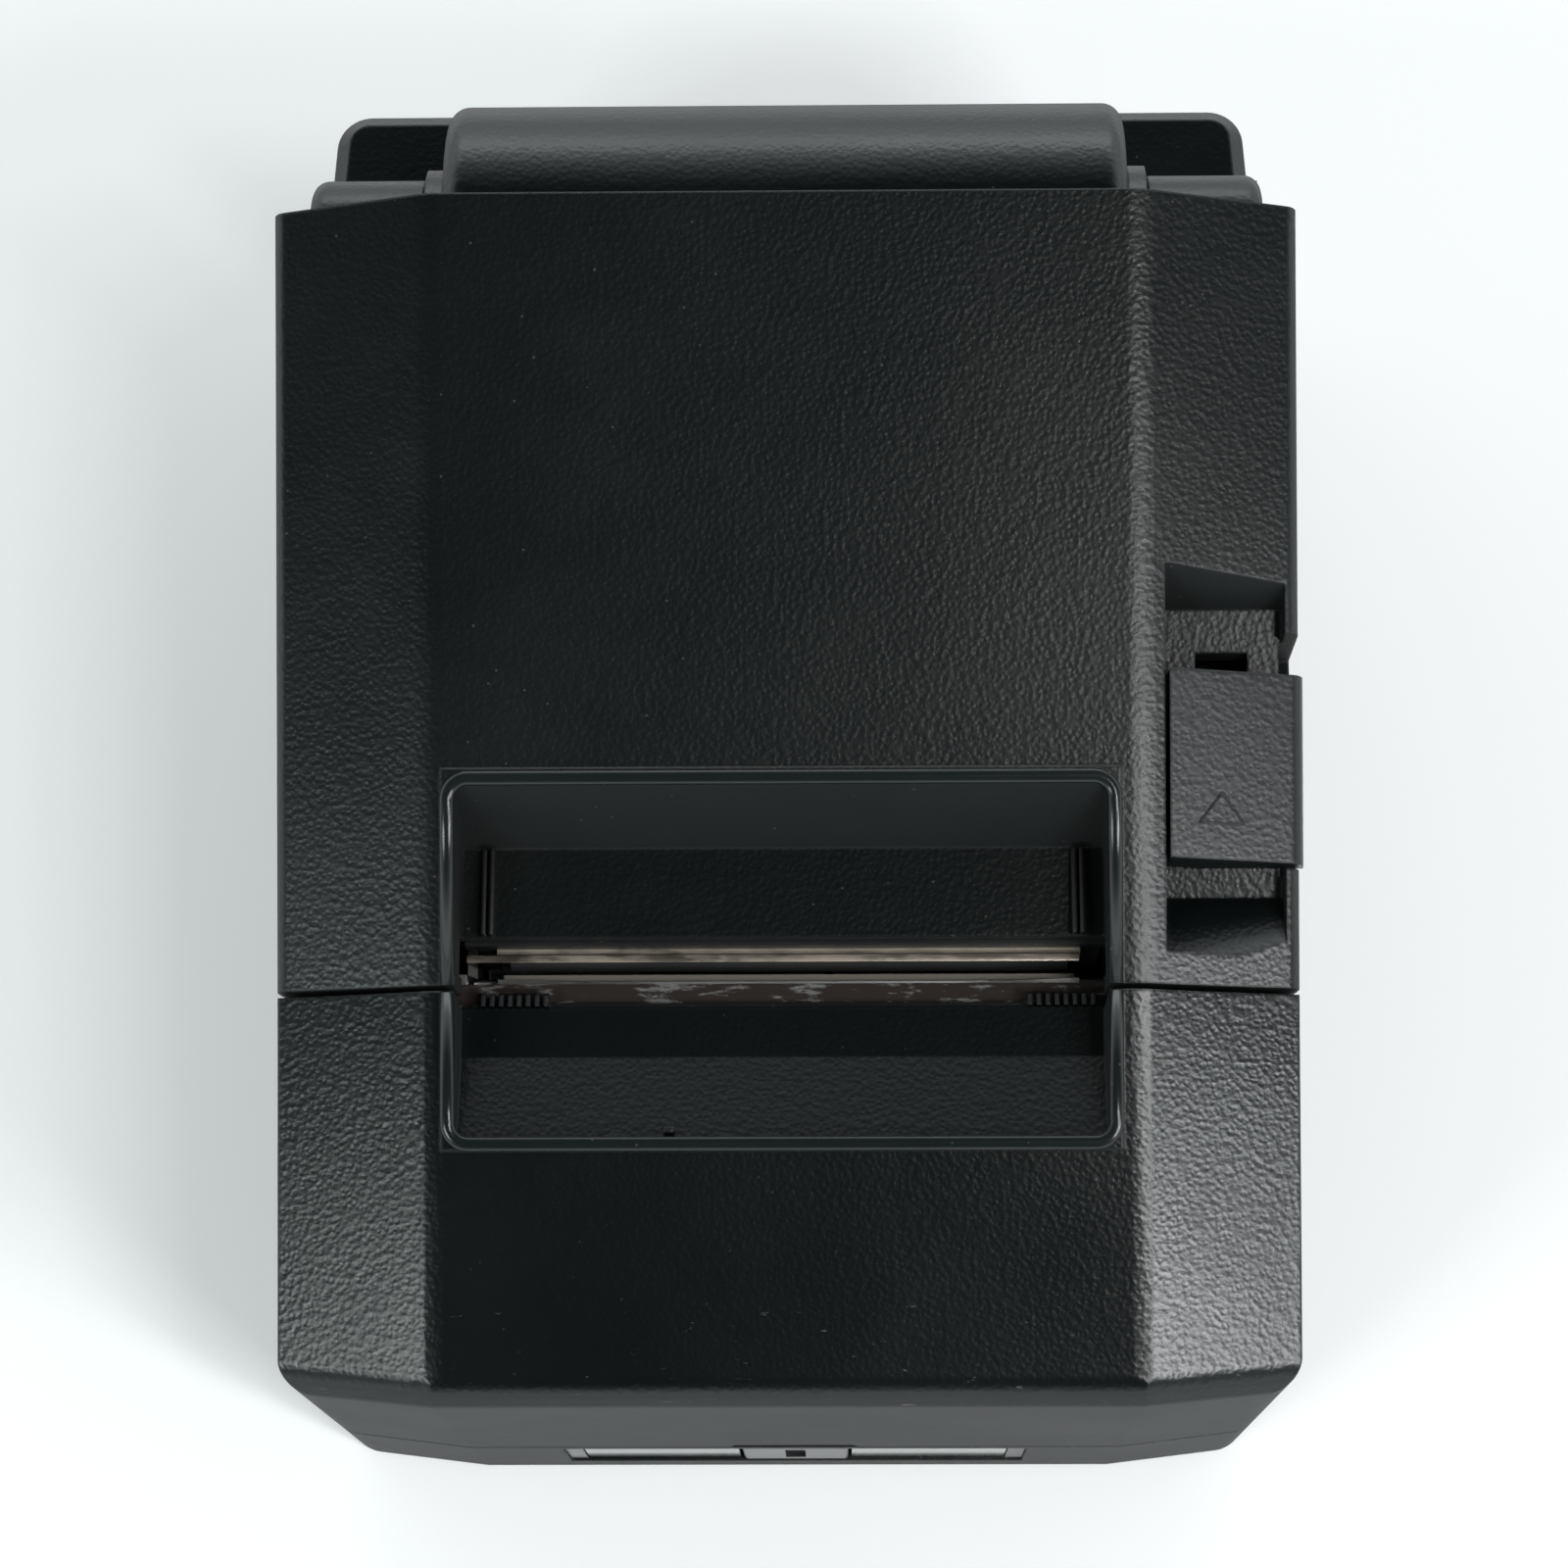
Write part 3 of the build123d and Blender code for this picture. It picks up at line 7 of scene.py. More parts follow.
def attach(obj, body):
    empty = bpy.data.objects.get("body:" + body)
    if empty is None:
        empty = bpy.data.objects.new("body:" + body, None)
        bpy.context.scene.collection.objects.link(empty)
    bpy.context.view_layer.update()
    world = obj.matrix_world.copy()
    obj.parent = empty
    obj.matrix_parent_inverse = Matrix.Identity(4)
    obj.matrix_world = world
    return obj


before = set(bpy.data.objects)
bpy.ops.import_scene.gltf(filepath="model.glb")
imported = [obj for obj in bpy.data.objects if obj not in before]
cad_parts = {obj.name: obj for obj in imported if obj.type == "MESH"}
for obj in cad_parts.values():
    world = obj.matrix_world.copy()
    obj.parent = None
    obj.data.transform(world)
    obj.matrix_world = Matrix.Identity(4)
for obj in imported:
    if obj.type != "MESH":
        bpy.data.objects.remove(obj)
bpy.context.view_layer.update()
MM = 0.001


# ---- Case mouldings -------------------------------------------------------------------
# The cover, the front cover, the tub and the hinge housing are injection moulded ABS,
# coloured right through in a greenish black, with a leather-like etched grain outside.

def node_adder(tree):
    """A short way to add shader nodes to a tree: settings are set on the node, and the inputs
    are given by name, or by number as i0, i1 and so on; an output given as a value is linked."""
    def add(kind, settings=None, **inputs):
        node = tree.nodes.new("ShaderNode" + kind)
        for key, value in (settings or {}).items():
            setattr(node, key, value)
        for key, value in inputs.items():
            numbered = key[0] == "i" and key[1:].isdigit()
            socket = node.inputs[int(key[1:]) if numbered else key.replace("_", " ")]
            if isinstance(value, bpy.types.NodeSocket):
                tree.links.new(value, socket)
            else:
                socket.default_value = value
        return node

    return add


def shader_tree(name):
    """A new material with only a Principled shader and an output."""
    material = bpy.data.materials.new(name)
    material.use_nodes = True
    tree = material.node_tree
    tree.nodes.clear()
    out = tree.nodes.new("ShaderNodeOutputMaterial")
    skin = tree.nodes.new("ShaderNodeBsdfPrincipled")
    tree.links.new(skin.outputs[0], out.inputs[0])
    add = node_adder(tree)
    place = add("TexCoord").outputs["Object"]
    return material, tree, skin, add, place


def two_tone(add, factor, first, second):
    """A colour between two others, by a factor."""
    tint = add("Mix", {"data_type": "RGBA"}, Factor=factor)
    tint.inputs[6].default_value = (*first, 1)
    tint.inputs[7].default_value = (*second, 1)
    return tint


DUST = (0.42, 0.40, 0.37)


def grained_plastic(name, colour, rough, grain=1000.0, depth=0.00006, edge=0.0006,
                    spread=0.10, dust=0.015, wall=0.0):
    """Moulded plastic: two sizes of Voronoi and noise cells summed as height, rounded edges by
    the bevelled normal, cloudy roughness from slow noise plus wall on upright faces, which keep
    their full etch, and a thin uneven film of dust."""
    material, tree, skin, add, place = shader_tree(name)
    cells = add("TexVoronoi", {"feature": "SMOOTH_F1"}, Vector=place, Scale=grain,
                Smoothness=0.6, Randomness=1.0)
    fine = add("TexNoise", Vector=place, Scale=grain * 1.7, Detail=3.0, Roughness=0.6)
    height = add("Math", {"operation": "MULTIPLY_ADD"},
                 i0=fine.outputs[0], i1=0.6, i2=cells.outputs["Distance"])
    rounded = add("Bevel", {"samples": 4}, Radius=edge)
    bump = add("Bump", Height=height.outputs[0], Distance=depth, Strength=0.9,
               Normal=rounded.outputs[0])
    tree.links.new(bump.outputs[0], skin.inputs["Normal"])
    cloud = add("TexNoise", Vector=place, Scale=22.0, Detail=5.0, Roughness=0.62)
    gloss = add("MapRange", Value=cloud.outputs[0],
                i1=0.3, i2=0.7, i3=rough - spread, i4=rough + spread)
    facing = add("SeparateXYZ", Vector=add("NewGeometry").outputs["True Normal"])
    upright = add("MapRange", Value=facing.outputs["Z"], i1=0.35, i2=0.80, i3=wall, i4=0.0)
    etched = add("Math", {"operation": "ADD"}, i0=gloss.outputs[0], i1=upright.outputs[0])
    tree.links.new(etched.outputs[0], skin.inputs["Roughness"])
    film = add("TexNoise", Vector=place, Scale=9.0, Detail=6.0, Roughness=0.7)
    film_amount = add("MapRange", Value=film.outputs[0], i1=0.45, i2=0.8, i3=0.0, i4=dust)
    speck = add("TexVoronoi", Vector=place, Scale=260.0, Randomness=1.0)
    speck_on = add("MapRange", Value=speck.outputs["Distance"], i1=0.035, i2=0.06, i3=dust * 6, i4=0.0)
    total = add("Math", {"operation": "ADD", "use_clamp": True},
                i0=film_amount.outputs[0], i1=speck_on.outputs[0])
    tint = two_tone(add, total.outputs[0], colour, DUST)
    tree.links.new(tint.outputs[2], skin.inputs["Base Color"])
    skin.inputs["Specular IOR Level"].default_value = 0.40
    return material


def finish(material, *nodes):
    """Puts one material on every slot of the named CAD nodes."""
    for node in nodes:
        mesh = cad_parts[node].data
        mesh.materials.clear()
        mesh.materials.append(material)


CASE_BLACK = (0.0030, 0.0046, 0.0046)
CASE_GRAIN = 1250.0
case_grain = grained_plastic("case_grained_abs", CASE_BLACK, 0.27, grain=CASE_GRAIN,
                             depth=0.000042, spread=0.03, wall=0.38)
finish(case_grain, "top_cover", "lower_case", "rear_housing")


def scuffed(material, full_y, clear_y, amount):
    """Adds pale scuffs: noise stretched into short strokes passes a threshold. They are full up
    to full_y, at the front edge, and fade out by clear_y; both are in metres."""
    tree = material.node_tree
    tint = next(n for n in tree.nodes if n.bl_idname == "ShaderNodeMix")
    film = tint.inputs[0].links[0].from_socket
    add = node_adder(tree)
    place = add("TexCoord").outputs["Object"]
    strokes = add("Mapping", Vector=place, Scale=(260.0, 900.0, 900.0))
    noise = add("TexNoise", Vector=strokes.outputs[0], Scale=1.0, Detail=7.0, Roughness=0.7)
    over = add("MapRange", Value=noise.outputs[0], i1=0.66, i2=0.74, i3=0.0, i4=amount)
    parts = add("SeparateXYZ", Vector=place)
    band = add("MapRange", Value=parts.outputs["Y"], i1=full_y, i2=clear_y, i3=1.0, i4=0.0)
    both = add("Math", {"operation": "MULTIPLY"}, i0=over.outputs[0], i1=band.outputs[0])
    total = add("Math", {"operation": "ADD"}, i0=film, i1=both.outputs[0])
    tree.links.new(total.outputs[0], tint.inputs[0])


# The front cover is worn smoother by hands, and scuffed along its front edge.
handled_grain = grained_plastic("handled_grained_abs", CASE_BLACK, 0.22, grain=CASE_GRAIN,
                                depth=0.000036, spread=0.03, dust=0.006, wall=0.45)
scuffed(handled_grain, -0.094, -0.082, 0.35)
finish(handled_grain, "front_cover")

# ---- Inner mouldings ------------------------------------------------------------------
# The roll well, the platen frame, the combs and the bay ends are the same ABS with a
# smoother satin tool finish, since they are inside or small.

inner_satin = grained_plastic("inner_satin_abs", (0.008, 0.009, 0.010), 0.36, grain=1800.0,
                              depth=0.00002, edge=0.0004)
finish(inner_satin, "roll_well", "platen_frame", "guide_combs", "bay_ends", "near_end_lever",
       "latch_hooks")


# ---- Exit rim bead --------------------------------------------------------------------
# A smooth polished bead runs round the paper exit, half on the hinged cover and half on
# the front cover; it is moulded with them, so it shows no grain.

def mesh_piece(name, points, faces, material, body):
    """A smooth mesh from an array of points in millimetres and a list of faces, riding on a body."""
    mesh = bpy.data.meshes.new(name)
    mesh.from_pydata((np.asarray(points, float) * MM).tolist(), [], [list(map(int, f)) for f in faces])
    mesh.materials.append(material)
    mesh.polygons.foreach_set("use_smooth", np.full(len(mesh.polygons), True))
    mesh.update()
    obj = bpy.data.objects.new(name, mesh)
    bpy.context.scene.collection.objects.link(obj)
    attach(obj, body)
    return obj


def grid_faces(rows, cols, wrap_cols=False):
    """Quads between neighbouring points of a rows by cols grid, which may close on itself."""
    r = np.arange(rows - 1)[:, None]
    c = np.arange(cols if wrap_cols else cols - 1)[None, :]
    c2 = (c + 1) % cols
    quads = np.stack([r * cols + c, r * cols + c2, (r + 1) * cols + c2, (r + 1) * cols + c], -1)
    return quads.reshape(-1, 4)


def carried(path, across, up, profile):
    """A closed profile (a, b) carried along a path: point = path + a * across + b * up, with
    flat caps at both ends. Its faces still have to be turned outwards."""
    path, across, up, profile = (np.asarray(v, float) for v in (path, across, up, profile))
    points = (path[:, None, :] + across[:, None, :] * profile[None, :, :1]
              + up[:, None, :] * profile[None, :, 1:])
    rows, cols = points.shape[:2]
    faces = grid_faces(rows, cols, wrap_cols=True).tolist()
    faces.append(list(range(cols))[::-1])
    faces.append(list(range((rows - 1) * cols, rows * cols)))
    return points.reshape(-1, 3), faces


def outward(obj):
    """Recalculates the face directions of a closed mesh so that they point out."""
    work = bmesh.new()
    work.from_mesh(obj.data)
    bmesh.ops.remove_doubles(work, verts=work.verts, dist=1e-7)
    bmesh.ops.recalc_face_normals(work, faces=work.faces)
    work.to_mesh(obj.data)
    work.free()
    obj.data.update()
    return obj


PART_Y, PART_Z = -44.5, 109.206
TOP_RISE, FRONT_RISE = np.tan(np.radians(14.45)), np.tan(np.radians(13.3))
CREASE_X, FACET_FALL = 50.8, 5.5 / 22.7
EXIT_X, EXIT_HALF = -0.8, 46.6
EXIT_REAR, EXIT_FRONT = -16.5, -65.1


def roof_z(x, y):
    """Height of the roof: a slope in y, steeper behind the parting line, less the side facet's
    fall for each millimetre beyond the crease."""
    rise = np.where(y > PART_Y, TOP_RISE, FRONT_RISE)
    return PART_Z + rise * (y - PART_Y) - FACET_FALL * np.maximum(np.abs(x) - CREASE_X, 0)


def sideways(plan):
    """The level unit vector to the left of a path (x, y), square to its gradient, at each point."""
    along = np.gradient(plan, axis=0)
    along /= np.linalg.norm(along, axis=1)[:, None]
    return np.stack([-along[:, 1], along[:, 0], 0 * along[:, 0]], 1)


def half_round(half, rise, foot, lift=0.0, count=9):
    """A strip's section: half an ellipse (half * cos t, lift + rise * sin t) on a flat foot."""
    t = np.linspace(0, np.pi, count)
    arc = np.stack([half * np.cos(t), lift + rise * np.sin(t)], 1)
    return np.concatenate([arc, [[-half, -foot], [half, -foot]]])


def rim_path(y_far, y_near, sign, out, corner):
    """A U of straight runs with two quarter-circle corners, offset outwards by out from the
    opening's edge; sign is +1 towards the rear and -1 towards the front."""
    low_x, high_x = EXIT_X - EXIT_HALF - out, EXIT_X + EXIT_HALF + out
    turn = np.linspace(0, np.pi / 2, 13)
    inset = corner * (1 - np.cos(turn))
    y = y_far + sign * (out - corner * (1 - np.sin(turn)))
    bend_left = np.stack([low_x + inset, y], 1)
    bend_right = np.stack([high_x - inset, y], 1)[::-1]
    straight = np.linspace(bend_left[-1], bend_right[0], 9)[1:-1]
    plan = np.concatenate([[[low_x, y_near]], bend_left, straight, bend_right, [[high_x, y_near]]])
    path = np.stack([plan[:, 0], plan[:, 1], roof_z(0 * plan[:, 0], plan[:, 1])], 1)
    rise = TOP_RISE if sign > 0 else FRONT_RISE
    across = sideways(plan)
    across[:, 2] = across[:, 1] * rise
    up = np.tile(np.array([0, -rise, 1]) / np.hypot(1, rise), (len(path), 1))
    return path, across, up


polished = grained_plastic("polished_rim_abs", (0.008, 0.011, 0.011), 0.16, grain=500.0,
                           depth=0.000004, edge=0.0003, spread=0.05)
BEAD_HALF, BEAD_OUT, BEAD_CORNER = 1.02, 0.94, 3.0
BEAD_OVERRUN = 0.5
bead_profile = half_round(BEAD_HALF, 0.62, 0.5, lift=0.40, count=12)
for label, far, near, sign, body in (
    ("exit_bead_rear", EXIT_REAR, PART_Y + BEAD_OVERRUN, 1, "cover"),
    ("exit_bead_front", EXIT_FRONT, PART_Y - BEAD_OVERRUN, -1, "base"),
):
    points, faces = carried(*rim_path(far, near, sign, BEAD_OUT, BEAD_CORNER), bead_profile)
    outward(mesh_piece(label, points, faces, polished, body))

# ---- Paper recess ribs ----------------------------------------------------------------
# A pair of low guide ribs stands at each end of the recess floor in the cover, and a moulding
# pip is left at the end of the front tray; all are part of the mouldings.

def rounded_box(low, high, r=0.3, steps=3):
    """A box whose twelve edges are rounded: a cube grid point p is moved to
    clamp(p, low + r, high - r) + r * direction from that clamp."""
    low, high = np.asarray(low, float), np.asarray(high, float)
    r = min(r, float((high - low).min()) / 2 * 0.98)
    falling = -np.cos(np.linspace(0, np.pi / 2, steps + 1))
    axis = np.concatenate([falling, -falling[::-1]])
    n = len(axis)
    points, faces = [], []
    for d in range(3):
        for s in (-1.0, 1.0):
            a, b = np.meshgrid(axis, axis, indexing="ij")
            cube = np.zeros((n, n, 3))
            cube[..., d] = s
            cube[..., (d + 1) % 3] = a * s
            cube[..., (d + 2) % 3] = b
            out = cube / np.linalg.norm(cube, axis=-1, keepdims=True)
            core = np.where(cube > 0, high - r, low + r)
            points.append((core + r * out).reshape(-1, 3))
            faces.append(grid_faces(n, n) + n * n * (2 * d + (s > 0)))
    return np.concatenate(points), np.concatenate(faces).tolist()


def block(name, low, high, material, body, r=0.3):
    """A rounded box from its low corner to its high one, riding on a body."""
    points, faces = rounded_box(low, high, r)
    return outward(mesh_piece(name, points, faces, material, body))


recess_satin = grained_plastic("recess_grained_abs", (0.006, 0.006, 0.007), 0.50, grain=1500.0,
                               depth=0.00003, edge=0.0004)
RIB_HALF, RIB_PAIR = 0.35, 0.55
for side, middle in (("left", -43.4), ("right", 42.0)):
    for k, x in enumerate((middle - RIB_PAIR, middle + RIB_PAIR)):
        block(f"recess_rib_{side}_{k}", (x - RIB_HALF, -35.3, 101.2), (x + RIB_HALF, -22.6, 103.4),
              recess_satin, "cover", 0.25)
block("tray_pip", (-17.7, -64.3, 102.0), (-16.1, -63.2, 102.9), inner_satin, "base")

# ---- Roll well ribs -------------------------------------------------------------------
# Low ribs run round the floor of the roll well so that a paper roll slides on four lines;
# they are moulded with the well.

WELL_Y, WELL_Z, WELL_R = 28.0, 72.0, 43.5
WELL_RIB_X = (-30.0, -10.0, 10.0, 30.0)
sweep = np.radians(np.linspace(196, 344, 60))
well_rib = half_round(0.8, 0.7, 0.15)
inward = np.stack([0 * sweep, -np.cos(sweep), -np.sin(sweep)], 1)
widthways = np.tile([1.0, 0, 0], (len(sweep), 1))
for k, x in enumerate(WELL_RIB_X):
    ring = [x, WELL_Y, WELL_Z] - WELL_R * inward
    points, faces = carried(ring, widthways, inward, well_rib)
    outward(mesh_piece(f"well_rib_{k}", points, faces, inner_satin, "base"))

# ---- Release lever --------------------------------------------------------------------
# The lever's knob is a separate ABS moulding clipped on the latch shaft; a raised outline
# triangle points to the rear, the way it is pushed.

lever_black = grained_plastic("lever_grained_abs", (0.004, 0.006, 0.0065), 0.27, grain=CASE_GRAIN,
                              depth=0.00003, edge=0.0007, spread=0.04)
finish(lever_black, "release_lever")
ARROW_CORNERS = np.array([[58.8, -21.7], [65.4, -21.7], [62.1, -17.4], [58.8, -21.7]])
KNOB_RISE = 0.62
KNOB_FACING = (0.235, -0.25, 0.94)
sides = np.linspace(0, 3, 40)
arrow = np.stack([np.interp(sides, range(4), ARROW_CORNERS[:, k]) for k in (0, 1)], 1)
arrow_path = np.column_stack([arrow, roof_z(arrow[:, 0], arrow[:, 1]) + KNOB_RISE])
points, faces = carried(arrow_path, sideways(arrow), np.tile(KNOB_FACING, (len(arrow), 1)),
                        half_round(0.26, 0.24, 0.3, count=7))
outward(mesh_piece("lever_arrow", points, faces, lever_black, "latch"))

# ---- Feed button and status windows ---------------------------------------------------
# The feed button is a smooth cap with a groove. Beside it two smoked translucent windows
# let the light of the status lamps through; the lamps sit on a small board behind.

button_black = grained_plastic("button_gloss_abs", (0.003, 0.005, 0.006), 0.30, grain=400.0,
                               depth=0.000003, edge=0.0005, spread=0.04)
finish(button_black, "feed_button")
window, tree, skin, add, place = shader_tree("smoked_window")
haze = add("TexNoise", Vector=place, Scale=60.0, Detail=4.0)
smoke = two_tone(add, haze.outputs[0], (0.036, 0.048, 0.038), (0.056, 0.070, 0.056))
tree.links.new(smoke.outputs[2], skin.inputs["Base Color"])
skin.inputs["Roughness"].default_value = 0.22
skin.inputs["Transmission Weight"].default_value = 0.25
skin.inputs["Coat Weight"].default_value = 0.4
skin.inputs["Coat Roughness"].default_value = 0.08
finish(window, "status_window_left", "status_window_right")

# ---- Steel mechanism ------------------------------------------------------------------
# The chassis and studs are zinc plated steel, with the grain of the rolling along the
# printer's width. The shafts and pins are turned, so their grain runs round them.

def brushed_metal(name, colour, rough, grain=(20.0, 900.0, 900.0)):
    """Metal: noise stretched by a mapping gives the brushing, and slow noise the tarnish."""
    material, tree, skin, add, place = shader_tree(name)
    stretch = add("Mapping", Vector=place, Scale=grain)
    lines = add("TexNoise", Vector=stretch.outputs[0], Scale=1.0, Detail=3.0)
    rounded = add("Bevel", {"samples": 4}, Radius=0.0002)
    bump = add("Bump", Height=lines.outputs[0], Distance=0.00002, Strength=0.5,
               Normal=rounded.outputs[0])
    tree.links.new(bump.outputs[0], skin.inputs["Normal"])
    cloud = add("TexNoise", Vector=place, Scale=70.0, Detail=6.0)
    gloss = add("MapRange", Value=cloud.outputs[0], i1=0.3, i2=0.7, i3=rough - 0.12, i4=rough + 0.12)
    tree.links.new(gloss.outputs[0], skin.inputs["Roughness"])
    tint = two_tone(add, cloud.outputs[0], colour, [c * 0.72 for c in colour])
    tree.links.new(tint.outputs[2], skin.inputs["Base Color"])
    skin.inputs["Metallic"].default_value = 1.0
    return material


zinc_steel = brushed_metal("zinc_plated_steel", (0.56, 0.55, 0.53), 0.36)
finish(zinc_steel, "mech_chassis", "latch_studs")
turned_steel = brushed_metal("turned_steel", (0.62, 0.62, 0.63), 0.24, grain=(900.0, 40.0, 40.0))
finish(turned_steel, "latch_shaft", "hinge_pins", "idler_axle", "head_pivot_pin", "platen_shaft",
       "cutter_shaft", "rocker_pin")

# ---- Cutter ---------------------------------------------------------------------------
# A fixed blade in the cover and a sliding blade below the top plate. Paper dust, label
# glue and rust have stained both, most of all on the top plate.

def stained_steel(name, colour, stain, amount, low, high):
    """Steel with blotches of stain where noise stretched along the blade passes a threshold,
    from low to high; the stain is rough and isn't metallic."""
    material, tree, skin, add, place = shader_tree(name)
    stretch = add("Mapping", Vector=place, Scale=(130.0, 520.0, 520.0))
    blotch = add("TexNoise", Vector=stretch.outputs[0], Scale=1.0, Detail=8.0, Roughness=0.72)
    where = add("MapRange", Value=blotch.outputs[0], i1=low, i2=high, i3=0.0, i4=amount)
    fine = add("TexNoise", Vector=place, Scale=900.0, Detail=4.0)
    tone = two_tone(add, fine.outputs[0], colour, [c * 0.8 for c in colour])
    tint = two_tone(add, where.outputs[0], colour, stain)
    tree.links.new(tone.outputs[2], tint.inputs[6])
    tree.links.new(tint.outputs[2], skin.inputs["Base Color"])
    metal = add("MapRange", Value=where.outputs[0], i3=1.0, i4=0.1)
    tree.links.new(metal.outputs[0], skin.inputs["Metallic"])
    rough = add("MapRange", Value=where.outputs[0], i3=0.3, i4=0.85)
    tree.links.new(rough.outputs[0], skin.inputs["Roughness"])
    bump = add("Bump", Height=blotch.outputs[0], Distance=0.00008, Strength=0.5)
    tree.links.new(bump.outputs[0], skin.inputs["Normal"])
    return material


for node, colour, stain, amount, low, high in (
    ("fixed_blade", (0.55, 0.49, 0.41), (0.30, 0.25, 0.19), 0.55, 0.35, 0.75),
    ("moving_blade", (0.72, 0.71, 0.68), (0.03, 0.018, 0.012), 0.85, 0.50, 0.66),
    ("cutter_top_plate", (0.36, 0.36, 0.35), (0.016, 0.009, 0.006), 1.0, 0.34, 0.46),
):
    name = node.removeprefix("cutter_") + "_steel"
    finish(stained_steel(name, colour, stain, amount, low, high), node)

# A thin stamped strip in front of the fixed blade reaches to the left wall of the recess.
strip_steel = stained_steel("strip_steel", (0.60, 0.53, 0.44), (0.20, 0.15, 0.10), 0.6, 0.45, 0.72)
block("blade_strip", (-46.9, -38.0, 96.25), (42.4, -36.9, 96.5), strip_steel,
      "cover", 0.08)

# ---- Platen, gears and bearings -------------------------------------------------------
# A black rubber roller on a steel shaft, with gears and bearings moulded in natural white
# acetal. The four feet are of the same rubber.

rubber, tree, skin, add, place = shader_tree("platen_rubber_matte")
speckle = add("TexNoise", Vector=place, Scale=2600.0, Detail=3.0)
bump = add("Bump", Height=speckle.outputs[0], Distance=0.00002, Strength=0.6)
tree.links.new(bump.outputs[0], skin.inputs["Normal"])
dusting = add("TexNoise", Vector=place, Scale=40.0, Detail=6.0)
dusted = two_tone(add, dusting.outputs[0], (0.018, 0.018, 0.019), (0.05, 0.05, 0.05))
tree.links.new(dusted.outputs[2], skin.inputs["Base Color"])
skin.inputs["Roughness"].default_value = 0.78
finish(rubber, "platen_rubber", "rubber_feet")
acetal = grained_plastic("natural_acetal", (0.74, 0.72, 0.66), 0.36, grain=700.0,
                         depth=0.000008, edge=0.00015)
finish(acetal, "platen_gear", "idler_gear", "feed_pinion", "cutter_pinion", "platen_bearings")

# ---- Print head and motors ------------------------------------------------------------
# The thermal head is a glazed ceramic strip on an extruded aluminium heatsink, pressed by
# two coil springs. The motors are steel cans, and all the screws are zinc plated.

aluminium = brushed_metal("extruded_aluminium", (0.70, 0.70, 0.72), 0.34, grain=(15.0, 700.0, 700.0))
finish(aluminium, "head_heatsink")
glaze = grained_plastic("glazed_ceramic", (0.46, 0.42, 0.37), 0.12, grain=300.0,
                        depth=0.000004, spread=0.04)
finish(glaze, "thermal_head")
EVEN_GRAIN = (400.0, 400.0, 400.0)
finish(brushed_metal("motor_can", (0.30, 0.30, 0.31), 0.42, grain=EVEN_GRAIN),
       "feed_motor", "cutter_motor")
finish(brushed_metal("spring_wire", (0.50, 0.50, 0.52), 0.30, grain=EVEN_GRAIN),
       "head_springs", "latch_spring")
finish(brushed_metal("screw_zinc", (0.60, 0.60, 0.61), 0.30, grain=(500.0, 500.0, 500.0)),
       "case_screws", "chassis_screws", "cover_screws", "board_screws")

# ---- Boards and sockets ---------------------------------------------------------------
# Glass-fibre boards under green solder mask, black moulded parts and sockets, and a tinned
# steel plate and shell at the back.

mask, tree, skin, add, place = shader_tree("solder_mask_green")
tracks = add("TexBrick", {"offset": 0.37}, Vector=place, Scale=95.0)
tracks.inputs["Color1"].default_value = (0.012, 0.075, 0.030, 1)
tracks.inputs["Color2"].default_value = (0.014, 0.090, 0.036, 1)
tracks.inputs["Mortar"].default_value = (0.030, 0.150, 0.065, 1)
tracks.inputs["Mortar Size"].default_value = 0.03
tree.links.new(tracks.outputs[0], skin.inputs["Base Color"])
bump = add("Bump", Height=tracks.outputs[1], Distance=0.00003)
tree.links.new(bump.outputs[0], skin.inputs["Normal"])
skin.inputs["Roughness"].default_value = 0.3
finish(mask, "main_board", "button_board")
moulded = grained_plastic("moulded_black_nylon", (0.020, 0.020, 0.021), 0.42, grain=1600.0,
                          depth=0.00001, edge=0.0003)
finish(moulded, "board_components", "near_end_sensor", "paper_sensor", "power_switch_body",
       "power_rocker", "power_inlet", "network_port", "drawer_jack")
tinned = brushed_metal("tinned_steel", (0.68, 0.68, 0.69), 0.28, grain=(500.0, 60.0, 500.0))
finish(tinned, "data_port", "interface_plate")

# Gold spring contacts slope down into the two modular jacks.
gold = brushed_metal("gold_flash", (0.83, 0.62, 0.28), 0.22, grain=(400.0, 60.0, 400.0))
CONTACT_PITCH, CONTACT_R = 1.02, 0.18
around = np.linspace(0, 2 * np.pi, 9)[:-1]
wire_profile = CONTACT_R * np.stack([np.cos(around), np.sin(around)], 1)
wire_run = np.array([[89.6, 14.6], [92.5, 13.9], [96.2, 12.4], [97.0, 11.95]])
for jack, middle, count in (("network", 4.0, 8), ("drawer", 30.0, 6)):
    for k in range(count):
        x = middle + CONTACT_PITCH * (k - (count - 1) / 2)
        wire = np.column_stack([np.full(len(wire_run), x), wire_run])
        points, faces = carried(wire, np.tile([1.0, 0, 0], (len(wire), 1)),
                                np.tile([0, 0.35, 0.94], (len(wire), 1)), wire_profile)
        outward(mesh_piece(f"{jack}_contact_{k}", points, faces, gold, "base"))

# ---- Floor, light and camera ----------------------------------------------------------
# A plain pale floor under soft studio light, seen from above and a little in front.

